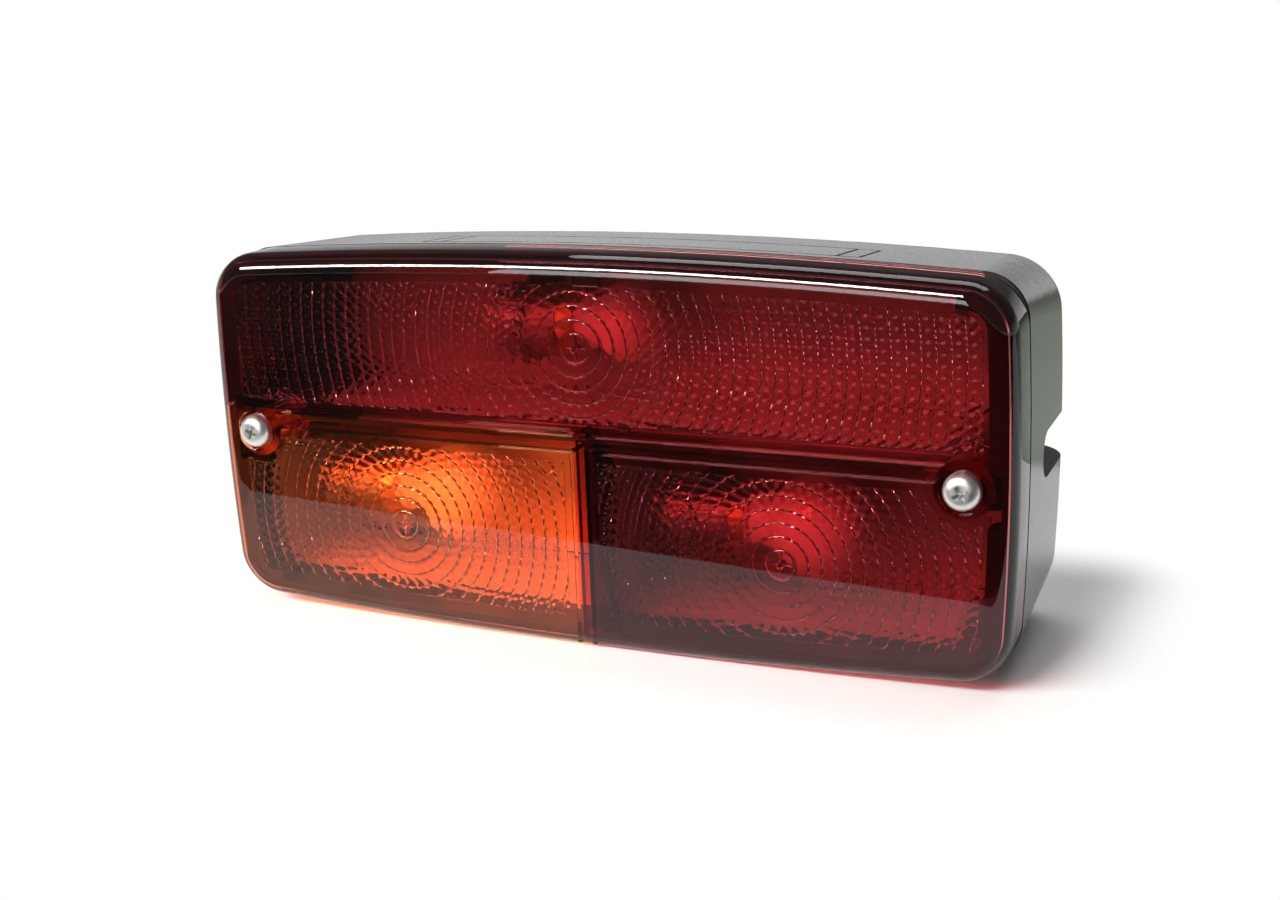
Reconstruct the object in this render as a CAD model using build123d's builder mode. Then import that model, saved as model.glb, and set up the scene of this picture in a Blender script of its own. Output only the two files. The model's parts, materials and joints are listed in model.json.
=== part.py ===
from build123d import *
from collections import namedtuple
from math import ceil, sqrt
import os

# Rear lamp cluster: a moulded housing with three bulb chambers under a two-colour lens.
# +Z is up, the lens faces -Y and the origin is the middle of the rear mounting face.
# "Forward" is a distance from that rear face towards the lens. Millimetres throughout.

# Outline of lens and housing
lamp_width = 195.0
lamp_height = 91.0
side_crown = 1.4
long_crown = 3.4
corner_radius = 10.0

# Depths
housing_depth = 46.0
gasket_thickness = 1.0
lens_depth = 13.0

# Housing moulding
wall = 2.6
side_draw = 0.4
long_draw = 3.2
corner_growth = 3.5
back_round = 11.0
partition_wall = 2.0
partition_z = 3.0
lip_wall = 1.5
lip_root = 3.5
lip_height = 10.5
lip_clearance = 0.3
fence_height = 7.0
lead_notch_width = 10.0
lead_notch_height = 6.0
lead_notch_x = 22.0

# Lens moulding
lens_wall = 2.5
skirt_wall = 2.2
lens_edge_round = 4.8
lens_inner_round = 0.6
amber_top = 6.0
amber_corner = 2.5
rib_wall = 1.0
rib_height = 7.0
rib_clearance = 0.4
optic_border = 7.0
optic_gap = 3.6

# Ring optics on the inner face of the lens
ring_pitch = 3.1
ring_low = 0.1
ring_high = 0.7
ring_root = 0.4

# Gasket
gasket_inset = 0.3
gasket_width = 1.7

# Lens screws and what takes them
screw_edge = 11.0
screw_radius = 2.0
screw_length = 24.0
screw_head_radius = 4.1
screw_head_height = 2.9
screw_head_round = 2.2
screw_tip = 2.5
recess_length = 4.4
recess_width = 0.9
recess_depth = 1.5
screw_clearance = 0.2
pillar_radius = 6.4
counterbore_radius = 5.1
counterbore_depth = 1.0

# Side recesses behind the screw bosses
slot_width = 10.6
slot_end = 14.0
boss_wall = 2.4

# Back plates on their posts
plate_level = 12.0
plate_thickness = 0.8
plate_gap = 0.6
post_radius = 3.4
post_bore_depth = 7.0
post_near = 15.0
post_inset = 11.0
tail_post_inset = 20.9
plate_screw_radius = 1.4
plate_screw_head_radius = 2.7
plate_screw_head_height = 1.7
plate_screw_length = 7.5
bore_clearance = 0.1
lead_hole_radius = 3.0
lead_hole_offset = 4.5
lead_hole_drop = 6.0

# Bulb holders, measured along the bulb from its end contact
holder_gap = 2.45
axis_height = 16.0
cap_radius = 7.5
cap_length = 16.0
cap_contact_radius = 3.0
cap_contact_length = 1.0
cap_neck_radius = 6.6
pin_radius = 1.0
pin_from_base = 7.0
pin_reach = 8.4
shell_wall = 0.6
shell_length = 12.0
shell_clearance = 0.2
shell_lip = 1.4
disc_thickness = 1.6
contact_head_radius = 2.4
contact_head_thickness = 0.6
contact_shank_radius = 1.4
blade_width = 6.3
blade_thickness = 0.8
blade_length = 7.0
bracket_thickness = 1.0
bracket_width = 20.0
bracket_from_base = 3.5
bracket_bend = 1.0
foot_length = 16.0
rivet_radius = 1.6
rivet_head_radius = 2.9
rivet_head_height = 1.1
rivet_tail_radius = 2.4
rivet_tail_height = 0.9
rivet_spread = 6.0
rivet_inset = 5.5
joint_clearance = 0.05

# Bulbs
small_globe_radius = 9.2
small_globe_from_base = 27.0
large_globe_radius = 12.5
large_globe_from_base = 32.0
bulb_shift = 1.0
tail_lift = 1.2

# Mounting studs
stud_spacing = 90.0
stud_radius = 3.0
stud_neck_radius = 3.6
stud_reach = 18.0
stud_head_flats = 10.0
stud_head_height = 4.0
stud_boss_radius = 8.5
stud_boss_cover = 2.4
stud_chamfer = 0.8

# Cable grommet
grommet_x = 30.0
grommet_hole_radius = 6.5
grommet_flange_radius = 9.5
grommet_flange = 2.2
grommet_bore_radius = 3.5
grommet_clearance = 0.1
grommet_pocket_clearance = 0.5

# Blanked window outline on the top of the housing
panel_x = 6.5
panel_width = 97.0
panel_frame = 5.0
panel_front = 4.0
panel_back = 21.0
groove_width = 0.7
groove_depth = 0.5

# Derived places
lens_seat = housing_depth + gasket_thickness
lens_front = lens_seat + lens_depth
optic_level = lens_front - lens_wall
screw_seat = lens_front - counterbore_depth
screw_x = lamp_width / 2 - screw_edge
screw_points = [(-screw_x, 0), (screw_x, 0)]
slot_radius = slot_width / 2
boss_radius = slot_radius + boss_wall
plate_top = plate_level + plate_thickness
axis_level = plate_top + axis_height
shell_bore = cap_radius + shell_clearance
shell_radius = shell_bore + shell_wall
shell_back = -(contact_head_thickness + disc_thickness + shell_wall)
rib_offset = partition_wall / 2 + rib_clearance + rib_wall / 2
side_face = lamp_width / 2 - wall
middle_face = partition_wall / 2
globe_from_wall = holder_gap + foot_length - bracket_from_base + large_globe_from_base
indicator_x = -side_face + globe_from_wall + bulb_shift
stop_x = middle_face + globe_from_wall - bulb_shift
upper_z = (partition_z + partition_wall / 2 + lamp_height / 2 - wall) / 2 + tail_lift
lower_z = (partition_z - partition_wall / 2 - lamp_height / 2 + wall) / 2
stud_points = [(-stud_spacing / 2, 0), (stud_spacing / 2, 0)]

# One chamber: its name, bulb place, bulb size and the posts of its back plate
Chamber = namedtuple("Chamber", "name x z globe_radius globe_from_base posts")
chambers = [
    Chamber("tail", 0.0, upper_z, small_globe_radius, small_globe_from_base,
            (-side_face + tail_post_inset, -post_near, side_face - tail_post_inset)),
    Chamber("indicator", indicator_x, lower_z, large_globe_radius, large_globe_from_base,
            (indicator_x - post_near, -middle_face - post_inset)),
    Chamber("stop", stop_x, lower_z, large_globe_radius, large_globe_from_base,
            (stop_x - post_near, side_face - post_inset)),
]
post_points = [(x, chamber.z) for chamber in chambers for x in chamber.posts]


def outline(forward, inset=0.0, lean=0.0):
    """The lamp's bowed outline at one depth, drawn in by a wall and by the housing's draft."""
    half_width = lamp_width / 2 - side_draw * lean - inset
    half_height = lamp_height / 2 - long_draw * lean - inset
    corner_x = half_width - side_crown * (half_height / (half_height + inset)) ** 2
    corner_z = half_height - long_crown * (half_width / (half_width + inset)) ** 2
    with BuildSketch(Plane.XZ.offset(forward)) as face:
        with BuildLine():
            for side in (1, -1):
                x, z = side * corner_x, side * corner_z
                ThreePointArc((-corner_x, z), (0, side * half_height), (corner_x, z))
                ThreePointArc((x, -corner_z), (side * half_width, 0), (x, corner_z))
        make_face()
        fillet(face.vertices(), corner_radius + corner_growth * lean - inset)
    return face.sketch


def lean_at(forward):
    """Share of the housing's draft reached at this depth: none at the rim, all at the rear face."""
    return 1 - forward / housing_depth


def tub(inset):
    """The housing's outer form, or one that lies a wall inside it, with its rounded back."""
    with BuildPart() as form:
        loft([outline(inset, inset, lean_at(inset)), outline(housing_depth, inset)])
        back = form.faces().sort_by(Axis.Y)[-1]
        fillet(back.edges(), back_round - inset)
    return form.part


def boss_shape(radius):
    """Front view of a screw boss or recess: a round about each screw axis, run out to the side wall."""
    with BuildSketch(Plane.XZ) as shape:
        for side in (1, -1):
            with Locations((side * screw_x, 0)):
                Circle(radius)
            with Locations((side * (screw_x + screw_edge / 2), 0)):
                Rectangle(screw_edge, 2 * radius)
    return shape.sketch


def optic_field(centre_x, centre_z, left, right, low, high):
    """Sawtooth rings about a bulb axis on the lens's inner face, trimmed to one optic field."""
    reach_x = max(abs(left - centre_x), abs(right - centre_x))
    reach_z = max(abs(low - centre_z), abs(high - centre_z))
    ring_count = ceil(sqrt(reach_x**2 + reach_z**2) / ring_pitch)
    teeth = [(0, -ring_root), (0, ring_high)]
    for ring in range(1, ring_count + 1):
        teeth += [(ring * ring_pitch, ring_low), (ring * ring_pitch, ring_high)]
    teeth[-1] = (ring_count * ring_pitch, -ring_root)
    section = Plane(origin=(centre_x, -optic_level, centre_z), x_dir=(1, 0, 0), z_dir=(0, 0, 1))
    with BuildPart() as rings:
        with BuildSketch(section):
            with BuildLine():
                Polyline(*teeth, close=True)
            make_face()
        revolve(axis=Axis((centre_x, 0, centre_z), (0, 1, 0)))
        with BuildSketch(Plane.XZ.offset(optic_level + ring_root)):
            add(outline(0, optic_border))
            with Locations(((left + right) / 2, (low + high) / 2)):
                Rectangle(right - left, high - low, mode=Mode.INTERSECT)
            with Locations(*screw_points):
                Circle(pillar_radius + optic_gap / 2, mode=Mode.SUBTRACT)
        extrude(amount=-(ring_root + ring_high), mode=Mode.INTERSECT)
    return rings.part


# Housing: tub, partitions, screw bosses, posts and stud bosses
with BuildPart() as housing_walls:
    with BuildSketch(Plane.XZ):
        with Locations((0, partition_z)):
            Rectangle(2 * screw_x, partition_wall)
        with Locations((0, partition_z - lamp_height / 2)):
            Rectangle(partition_wall, lamp_height)
        add(boss_shape(boss_radius))
    extrude(amount=housing_depth)
    add(tub(wall / 2), mode=Mode.INTERSECT)

with BuildPart() as side_recess:
    with BuildSketch(Plane.XZ):
        add(boss_shape(slot_radius))
    extrude(amount=housing_depth)
    with BuildSketch(Plane.YZ):
        with Locations((-(housing_depth - slot_end - slot_radius), 0)):
            Circle(slot_radius)
        with Locations((-(housing_depth - slot_end - slot_radius) / 2, 0)):
            Rectangle(housing_depth - slot_end - slot_radius, slot_width)
    extrude(amount=lamp_width, both=True, mode=Mode.INTERSECT)

with BuildPart() as window_outline:
    for margin in (0.0, panel_frame):
        with BuildSketch(Plane.XY):
            with Locations((panel_x, -housing_depth + (panel_front + panel_back) / 2)):
                width = panel_width + 2 * margin
                depth = panel_back - panel_front
                Rectangle(width, depth)
                Rectangle(width - 2 * groove_width, depth - 2 * groove_width, mode=Mode.SUBTRACT)
        extrude(amount=lamp_height)
    add(tub(groove_depth), mode=Mode.SUBTRACT)

with BuildPart() as housing:
    add(tub(0))
    add(tub(wall), mode=Mode.SUBTRACT)
    add(housing_walls.part)
    # rim shoulder and lip that locate the lens skirt, notched where the lens ribs run out to the skirt
    lip_outer = skirt_wall + lip_clearance
    with BuildSketch(Plane.XZ.offset(housing_depth - lip_root)):
        add(outline(0, lip_outer))
        add(outline(0, lip_outer + lip_wall), mode=Mode.SUBTRACT)
    extrude(amount=lip_root + lip_height)
    with BuildSketch(Plane.XZ.offset(optic_level - rib_height - rib_clearance)):
        with Locations((0, -lamp_height / 2)):
            Rectangle(2 * (rib_offset + rib_clearance) + rib_wall, 2 * (lip_outer + lip_wall + rib_clearance))
    extrude(amount=rib_height, mode=Mode.SUBTRACT)
    # fences that carry the partitions up between the lens ribs
    with BuildSketch(Plane.XZ.offset(housing_depth - lip_root)):
        with Locations((0, partition_z)):
            Rectangle(2 * (screw_x - pillar_radius - optic_gap), partition_wall)
        fence_low = -lamp_height / 2 + lip_outer + lip_wall / 2
        with Locations((0, (partition_z + fence_low) / 2)):
            Rectangle(partition_wall, partition_z - fence_low)
    extrude(amount=fence_height + lip_root)
    # posts for the back plates and bosses for the studs
    with BuildSketch(Plane.XZ.offset(wall / 2)):
        with Locations(*post_points):
            Circle(post_radius)
    extrude(amount=plate_level - wall / 2)
    with BuildSketch(Plane.XZ.offset(wall / 2)):
        with Locations(*stud_points):
            Circle(stud_boss_radius)
    extrude(amount=wall / 2 + stud_head_height + stud_boss_cover)
    # raised ring round the grommet, with its pocket and hole
    pocket_radius = grommet_flange_radius + grommet_pocket_clearance
    with BuildSketch(Plane.XZ.offset(wall / 2)):
        with Locations((grommet_x, upper_z)):
            Circle(pocket_radius + wall)
    extrude(amount=grommet_flange + wall / 2)
    with BuildSketch(Plane.XZ):
        with Locations((grommet_x, upper_z)):
            Circle(pocket_radius)
    extrude(amount=grommet_flange, mode=Mode.SUBTRACT)
    with BuildSketch(Plane.XZ):
        with Locations((grommet_x, upper_z)):
            Circle(grommet_hole_radius)
    extrude(amount=grommet_flange + wall, mode=Mode.SUBTRACT)
    # recesses, bores and notches
    add(side_recess.part, mode=Mode.SUBTRACT)
    with BuildSketch(Plane.XZ.offset(housing_depth)):
        with Locations(*screw_points):
            Circle(screw_radius + bore_clearance)
    extrude(amount=-(screw_length - (screw_seat - housing_depth) + screw_clearance), mode=Mode.SUBTRACT)
    with BuildSketch(Plane.XZ.offset(plate_level)):
        with Locations(*post_points):
            Circle(plate_screw_radius + bore_clearance)
    extrude(amount=-post_bore_depth, mode=Mode.SUBTRACT)
    with BuildSketch(Plane.XZ):
        with Locations(*stud_points):
            Circle(stud_neck_radius)
    extrude(amount=wall, mode=Mode.SUBTRACT)
    with BuildSketch(Plane.XZ.offset(wall)):
        with Locations(*stud_points):
            RegularPolygon(stud_head_flats / 2, 6, major_radius=False)
    extrude(amount=stud_head_height, mode=Mode.SUBTRACT)
    with BuildSketch(Plane.XZ.offset(wall)):
        with Locations((-lead_notch_x, partition_z), (lead_notch_x, partition_z)):
            Rectangle(lead_notch_width, 2 * partition_wall)
    extrude(amount=lead_notch_height, mode=Mode.SUBTRACT)
    add(window_outline.part, mode=Mode.SUBTRACT)
housing.part.label = "housing"

# Lens: one hollow form with pillars, ribs and ring optics, then parted into its two colours
with BuildPart() as lens_hollow:
    extrude(outline(lens_seat, skirt_wall), amount=lens_depth - lens_wall)
    fillet(lens_hollow.faces().sort_by(Axis.Y)[0].edges(), lens_inner_round)

with BuildPart() as lens_form:
    extrude(outline(lens_seat), amount=lens_depth)
    fillet(lens_form.faces().sort_by(Axis.Y)[0].edges(), lens_edge_round)
    add(lens_hollow.part, mode=Mode.SUBTRACT)
    with BuildSketch(Plane.XZ.offset(housing_depth)):
        with Locations(*screw_points):
            Circle(pillar_radius)
    extrude(amount=optic_level - housing_depth)
    rib_low = -lamp_height / 2 + skirt_wall / 2
    with BuildSketch(Plane.XZ.offset(optic_level - rib_height)):
        with Locations((0, partition_z - rib_offset), (0, partition_z + rib_offset)):
            Rectangle(2 * screw_x, rib_wall)
        with Locations((-rib_offset, rib_low), (rib_offset, rib_low)):
            Rectangle(rib_wall, partition_z - rib_offset - rib_low, align=(Align.CENTER, Align.MIN))
        with Locations((0, partition_z - rib_offset)):
            Rectangle(2 * rib_offset - rib_wall, rib_wall, mode=Mode.SUBTRACT)
    extrude(amount=rib_height)
    upper_low = amber_top + optic_gap / 2
    lower_high = partition_z - rib_offset - rib_wall / 2 - optic_gap / 2
    field_side = rib_offset + rib_wall / 2 + optic_gap / 2
    add(optic_field(0, upper_z, -lamp_width / 2, lamp_width / 2, upper_low, lamp_height / 2))
    add(optic_field(indicator_x, lower_z, -lamp_width / 2, -field_side, -lamp_height / 2, lower_high))
    add(optic_field(stop_x, lower_z, field_side, lamp_width / 2, -lamp_height / 2, lower_high))
    with BuildSketch(Plane.XZ.offset(lens_front)):
        with Locations(*screw_points):
            Circle(counterbore_radius)
    extrude(amount=-counterbore_depth, mode=Mode.SUBTRACT)
    with BuildSketch(Plane.XZ.offset(lens_front)):
        with Locations(*screw_points):
            Circle(screw_radius + screw_clearance)
    extrude(amount=-(lens_front - housing_depth), mode=Mode.SUBTRACT)

with BuildPart() as amber_zone:
    with BuildSketch(Plane.XZ.offset(housing_depth)) as zone:
        with Locations((0, amber_top)):
            Rectangle(lamp_width, lamp_height, align=(Align.MAX, Align.MAX))
        fillet(zone.vertices().group_by(Axis.X)[-1].sort_by(Axis.Z)[-1], amber_corner)
    extrude(amount=lens_front - housing_depth)

with BuildPart() as lens_red:
    add(lens_form.part)
    add(amber_zone.part, mode=Mode.SUBTRACT)
lens_red.part.label = "lens_red"

with BuildPart() as lens_amber:
    add(lens_form.part)
    add(amber_zone.part, mode=Mode.INTERSECT)
lens_amber.part.label = "lens_amber"

with BuildPart() as lens_gasket:
    with BuildSketch(Plane.XZ.offset(housing_depth)):
        add(outline(0, gasket_inset))
        add(outline(0, gasket_inset + gasket_width), mode=Mode.SUBTRACT)
    extrude(amount=gasket_thickness)
lens_gasket.part.label = "lens_gasket"

# Two pan-head lens screws with a cross recess
with BuildPart() as lens_screws:
    with BuildSketch(Plane.XZ.offset(screw_seat)):
        with Locations(*screw_points):
            Circle(screw_head_radius)
    extrude(amount=screw_head_height)
    fillet(lens_screws.faces().sort_by(Axis.Y)[:2].edges(), screw_head_round)
    with BuildSketch(Plane.XZ.offset(screw_seat)):
        with Locations(*screw_points):
            Circle(screw_radius)
    extrude(amount=-screw_length)
    chamfer(lens_screws.faces().sort_by(Axis.Y)[-2:].edges(), screw_tip, screw_tip / 2)
    with BuildSketch(Plane.XZ.offset(screw_seat + screw_head_height)):
        with Locations(*screw_points):
            Rectangle(recess_length, recess_width)
            Rectangle(recess_width, recess_length)
    extrude(amount=-recess_depth, mode=Mode.SUBTRACT)
lens_screws.part.label = "lens_screws"

# Studs moulded into the rear wall: hexagon head, thicker neck in the wall, plain shank
with BuildPart() as mounting_studs:
    with BuildSketch(Plane.XZ.offset(wall)):
        with Locations(*stud_points):
            RegularPolygon(stud_head_flats / 2, 6, major_radius=False)
    extrude(amount=stud_head_height)
    with BuildSketch(Plane.XZ):
        with Locations(*stud_points):
            Circle(stud_neck_radius)
    extrude(amount=wall)
    with BuildSketch(Plane.XZ):
        with Locations(*stud_points):
            Circle(stud_radius)
    extrude(amount=-stud_reach)
    chamfer(mounting_studs.faces().sort_by(Axis.Y)[-2:].edges(), stud_chamfer)
mounting_studs.part.label = "mounting_studs"

with BuildPart() as cable_grommet:
    with BuildSketch(Plane(origin=(grommet_x, 0, upper_z), x_dir=(1, 0, 0), z_dir=(0, 0, 1))):
        with BuildLine():
            neck = grommet_hole_radius - grommet_clearance
            inner_face = grommet_flange + wall
            inner_end = inner_face + grommet_flange
            Polyline((grommet_bore_radius, 0), (grommet_flange_radius, 0),
                     (grommet_flange_radius, -grommet_flange), (neck, -grommet_flange),
                     (neck, -inner_face), (grommet_flange_radius, -inner_face),
                     (neck, -inner_end), (grommet_bore_radius, -inner_end), close=True)
        make_face()
    revolve(axis=Axis((grommet_x, 0, upper_z), (0, 1, 0)))
cable_grommet.part.label = "cable_grommet"

plate_pieces = {}
all_rivet_points = []
for chamber in chambers:
    base_x = chamber.x - chamber.globe_from_base
    bulb_axis = Plane(origin=(base_x, -axis_level, chamber.z), x_dir=(1, 0, 0), z_dir=(0, 0, 1))
    axis_line = Axis((base_x, -axis_level, chamber.z), (1, 0, 0))
    foot_x = base_x + bracket_from_base - rivet_inset
    rivet_points = [(foot_x, chamber.z - rivet_spread), (foot_x, chamber.z + rivet_spread)]
    all_rivet_points += rivet_points

    # bright back plate, trimmed to the chamber and cut round the screw bosses
    with BuildPart() as reflector:
        with BuildSketch(Plane.XZ.offset(plate_level)):
            add(outline(0, wall + plate_gap, lean_at(plate_level)))
            upper = chamber.z > partition_z
            edge_z = partition_z + (partition_wall / 2 + plate_gap) * (1 if upper else -1)
            level = Align.MIN if upper else Align.MAX
            with Locations((0, edge_z)):
                Rectangle(lamp_width, lamp_height, align=(Align.CENTER, level), mode=Mode.INTERSECT)
            if not upper:
                edge_x = (partition_wall / 2 + plate_gap) * (1 if chamber.x > 0 else -1)
                with Locations((edge_x, edge_z)):
                    side = Align.MIN if chamber.x > 0 else Align.MAX
                    Rectangle(lamp_width, lamp_height, align=(side, Align.MAX), mode=Mode.INTERSECT)
            add(boss_shape(boss_radius + plate_gap), mode=Mode.SUBTRACT)
            with Locations(*[(x, chamber.z) for x in chamber.posts]):
                Circle(plate_screw_radius + bore_clearance, mode=Mode.SUBTRACT)
            with Locations(*rivet_points):
                Circle(rivet_radius + joint_clearance, mode=Mode.SUBTRACT)
            with Locations((base_x + bracket_from_base + lead_hole_offset, chamber.z - lead_hole_drop)):
                Circle(lead_hole_radius, mode=Mode.SUBTRACT)
        extrude(amount=plate_thickness)
    plate_pieces["reflector_" + chamber.name] = reflector

    # bent holder bracket: a foot on the plate and an upright ear round the shell
    with BuildPart() as bracket:
        with BuildSketch(Plane(origin=(base_x, 0, chamber.z), x_dir=(1, 0, 0), z_dir=(0, 0, 1))) as profile:
            with Locations((bracket_from_base, -plate_top)):
                Rectangle(foot_length, bracket_thickness, align=(Align.MAX, Align.MAX))
                Rectangle(bracket_thickness, axis_height + bracket_width / 2, align=(Align.MAX, Align.MAX))
            outer_bend = Vector(bracket_from_base, -plate_top, 0)
            inner_bend = outer_bend - Vector(bracket_thickness, bracket_thickness, 0)
            fillet(profile.vertices().sort_by_distance(inner_bend)[0], bracket_bend)
            fillet(profile.vertices().sort_by_distance(outer_bend)[0], bracket_bend + bracket_thickness)
        extrude(amount=bracket_width / 2, both=True)
        ear_corners = bracket.edges().filter_by(Axis.X).group_by(Axis.Y)[0]
        fillet(ear_corners, bracket_width / 2 - joint_clearance)
        with BuildSketch(Plane(origin=(base_x + bracket_from_base, -axis_level, chamber.z),
                               x_dir=(0, 1, 0), z_dir=(1, 0, 0))):
            Circle(shell_radius + joint_clearance)
        extrude(amount=-bracket_thickness, mode=Mode.SUBTRACT)
        with BuildSketch(Plane.XZ.offset(plate_top)):
            with Locations(*rivet_points):
                Circle(rivet_radius + joint_clearance)
        extrude(amount=bracket_thickness, mode=Mode.SUBTRACT)
    plate_pieces["holder_bracket_" + chamber.name] = bracket

    # holder shell with its rear lip and two bayonet slots
    with BuildPart() as shell:
        with BuildSketch(bulb_axis):
            with BuildLine():
                lip_bore = shell_bore - shell_lip
                lip_face = shell_back + shell_wall
                Polyline((shell_back, lip_bore), (shell_back, shell_radius), (shell_length, shell_radius),
                         (shell_length, shell_bore), (lip_face, shell_bore), (lip_face, lip_bore), close=True)
            make_face()
        revolve(axis=axis_line)
        with BuildSketch(bulb_axis):
            slot_half = pin_radius + shell_clearance
            with Locations((pin_from_base, 0)):
                Circle(slot_half)
                Rectangle(shell_length, 2 * slot_half, align=(Align.MIN, Align.CENTER))
        extrude(amount=shell_radius, both=True, mode=Mode.SUBTRACT)
    plate_pieces["holder_shell_" + chamber.name] = shell

    with BuildPart() as disc:
        with BuildSketch(bulb_axis):
            with Locations((-contact_head_thickness, 0)):
                Rectangle(disc_thickness, shell_bore - joint_clearance, align=(Align.MAX, Align.MIN))
                Rectangle(disc_thickness, contact_shank_radius, align=(Align.MAX, Align.MIN),
                          mode=Mode.SUBTRACT)
        revolve(axis=axis_line)
    plate_pieces["insulator_" + chamber.name] = disc

    # brass contact: a rivet head under the bulb and a push-on blade behind the disc
    with BuildPart() as contact:
        with BuildSketch(bulb_axis):
            Rectangle(contact_head_thickness, contact_head_radius, align=(Align.MAX, Align.MIN))
            Rectangle(contact_head_thickness + disc_thickness + blade_thickness, contact_shank_radius,
                      align=(Align.MAX, Align.MIN))
        revolve(axis=axis_line)
        blade_x = -(contact_head_thickness + disc_thickness)
        with BuildSketch(bulb_axis):
            with Locations((blade_x, 0)):
                Rectangle(blade_thickness, blade_width, align=(Align.MAX, Align.CENTER))
            with Locations((blade_x, blade_width / 2)):
                Rectangle(blade_length, blade_thickness, align=(Align.MAX, Align.MAX))
        extrude(amount=blade_width / 2, both=True)
    plate_pieces["contact_" + chamber.name] = contact

    # bulb: end contact, cap with two bayonet pins, glass globe
    with BuildPart() as bulb:
        with BuildSketch(bulb_axis):
            globe_x = chamber.globe_from_base
            neck_x = globe_x - sqrt(chamber.globe_radius**2 - cap_neck_radius**2)
            with BuildLine():
                Polyline((neck_x, cap_neck_radius), (cap_length, cap_neck_radius), (cap_length, cap_radius),
                         (cap_contact_length, cap_radius), (cap_contact_length, cap_contact_radius),
                         (0, cap_contact_radius), (0, 0), (globe_x + chamber.globe_radius, 0))
                ThreePointArc((globe_x + chamber.globe_radius, 0), (globe_x, chamber.globe_radius),
                              (neck_x, cap_neck_radius))
            make_face()
        revolve(axis=axis_line)
        with BuildSketch(bulb_axis):
            with Locations((pin_from_base, 0)):
                Circle(pin_radius)
        extrude(amount=pin_reach, both=True)
    plate_pieces["bulb_" + chamber.name] = bulb

# Rivets through bracket foot and plate, one pair for each chamber
with BuildPart() as holder_rivets:
    for level, radius, height in (
            (plate_level - rivet_tail_height, rivet_tail_radius, rivet_tail_height),
            (plate_level, rivet_radius, plate_thickness + bracket_thickness),
            (plate_top + bracket_thickness, rivet_head_radius, rivet_head_height)):
        with BuildSketch(Plane.XZ.offset(level)):
            with Locations(*all_rivet_points):
                Circle(radius)
        extrude(amount=height)
    fillet(holder_rivets.faces().group_by(Axis.Y)[0].edges(), rivet_head_height / 2)
holder_rivets.part.label = "holder_rivets"

with BuildPart() as plate_screws:
    for level, radius, height in (
            (plate_top - plate_screw_length, plate_screw_radius, plate_screw_length),
            (plate_top, plate_screw_head_radius, plate_screw_head_height)):
        with BuildSketch(Plane.XZ.offset(level)):
            with Locations(*post_points):
                Circle(radius)
        extrude(amount=height)
    fillet(plate_screws.faces().group_by(Axis.Y)[0].edges(), plate_screw_head_height / 2)
plate_screws.part.label = "plate_screws"

for name, piece in plate_pieces.items():
    piece.part.label = name

os.makedirs("parts", exist_ok=True)
for piece in (housing, lens_red, lens_amber, lens_gasket, lens_screws, mounting_studs, cable_grommet,
              holder_rivets, plate_screws, *plate_pieces.values()):
    export_step(piece.part, "parts/" + piece.part.label + ".step")
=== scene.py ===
"""Dressed model of a rectangular rear lamp cluster.

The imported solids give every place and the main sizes. This script models the two-colour lens with its
ring optics, the bulbs, the lens screws and the studs, gives every piece its finish, and sets the camera,
the stage and the lamps. All lengths are metres, in the frame of the solids: +Z is up and the lens faces -Y.
"""
import functools
import json
import logging
import math
from dataclasses import dataclass
from enum import Enum
from typing import Any, Callable, Sequence

import bmesh
import bpy
from mathutils import Matrix, Vector

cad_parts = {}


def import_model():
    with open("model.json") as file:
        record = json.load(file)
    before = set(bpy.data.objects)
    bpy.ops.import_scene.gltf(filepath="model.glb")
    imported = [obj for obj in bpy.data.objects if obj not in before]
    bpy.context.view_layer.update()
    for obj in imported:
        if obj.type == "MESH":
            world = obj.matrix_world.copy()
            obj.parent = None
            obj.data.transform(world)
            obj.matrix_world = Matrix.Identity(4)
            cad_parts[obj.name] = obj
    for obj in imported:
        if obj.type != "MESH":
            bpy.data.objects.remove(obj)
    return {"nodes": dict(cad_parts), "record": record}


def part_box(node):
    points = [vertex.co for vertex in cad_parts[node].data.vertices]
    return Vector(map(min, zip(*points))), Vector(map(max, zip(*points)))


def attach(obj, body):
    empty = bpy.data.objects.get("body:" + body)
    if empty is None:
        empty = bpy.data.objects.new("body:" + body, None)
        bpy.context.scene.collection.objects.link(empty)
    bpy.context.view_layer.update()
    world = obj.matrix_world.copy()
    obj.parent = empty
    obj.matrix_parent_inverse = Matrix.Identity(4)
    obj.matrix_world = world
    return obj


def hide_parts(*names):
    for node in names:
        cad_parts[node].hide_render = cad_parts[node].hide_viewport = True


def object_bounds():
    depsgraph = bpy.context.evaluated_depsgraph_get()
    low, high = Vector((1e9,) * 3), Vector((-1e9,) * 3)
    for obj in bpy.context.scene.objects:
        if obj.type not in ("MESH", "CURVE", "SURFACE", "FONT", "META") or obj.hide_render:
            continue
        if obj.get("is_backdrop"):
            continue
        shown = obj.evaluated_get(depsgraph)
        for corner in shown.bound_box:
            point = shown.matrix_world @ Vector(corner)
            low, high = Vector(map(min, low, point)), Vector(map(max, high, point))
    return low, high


LOG = logging.getLogger("rear_lamp")
MM = 0.001
BODY = "root"
QUARTER_TURN = math.pi / 2
FULL_TURN = 2 * math.pi
EXACT, DOUBLES, TOUCH, CLOSE = 0.001 * MM, 0.002 * MM, 0.01 * MM, 0.1 * MM
GLOBE_RADIUS = {"tail": 9.2 * MM, "indicator": 12.5 * MM, "stop": 12.5 * MM}
ROUND_SIDES = 48
SMALL_SIDES = 24
WIRE_SHARE, WIRE_SIDES = 0.2, 8
CLOUD_WAVES = 35.0
GRAIN_DETAIL = 2.0
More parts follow.
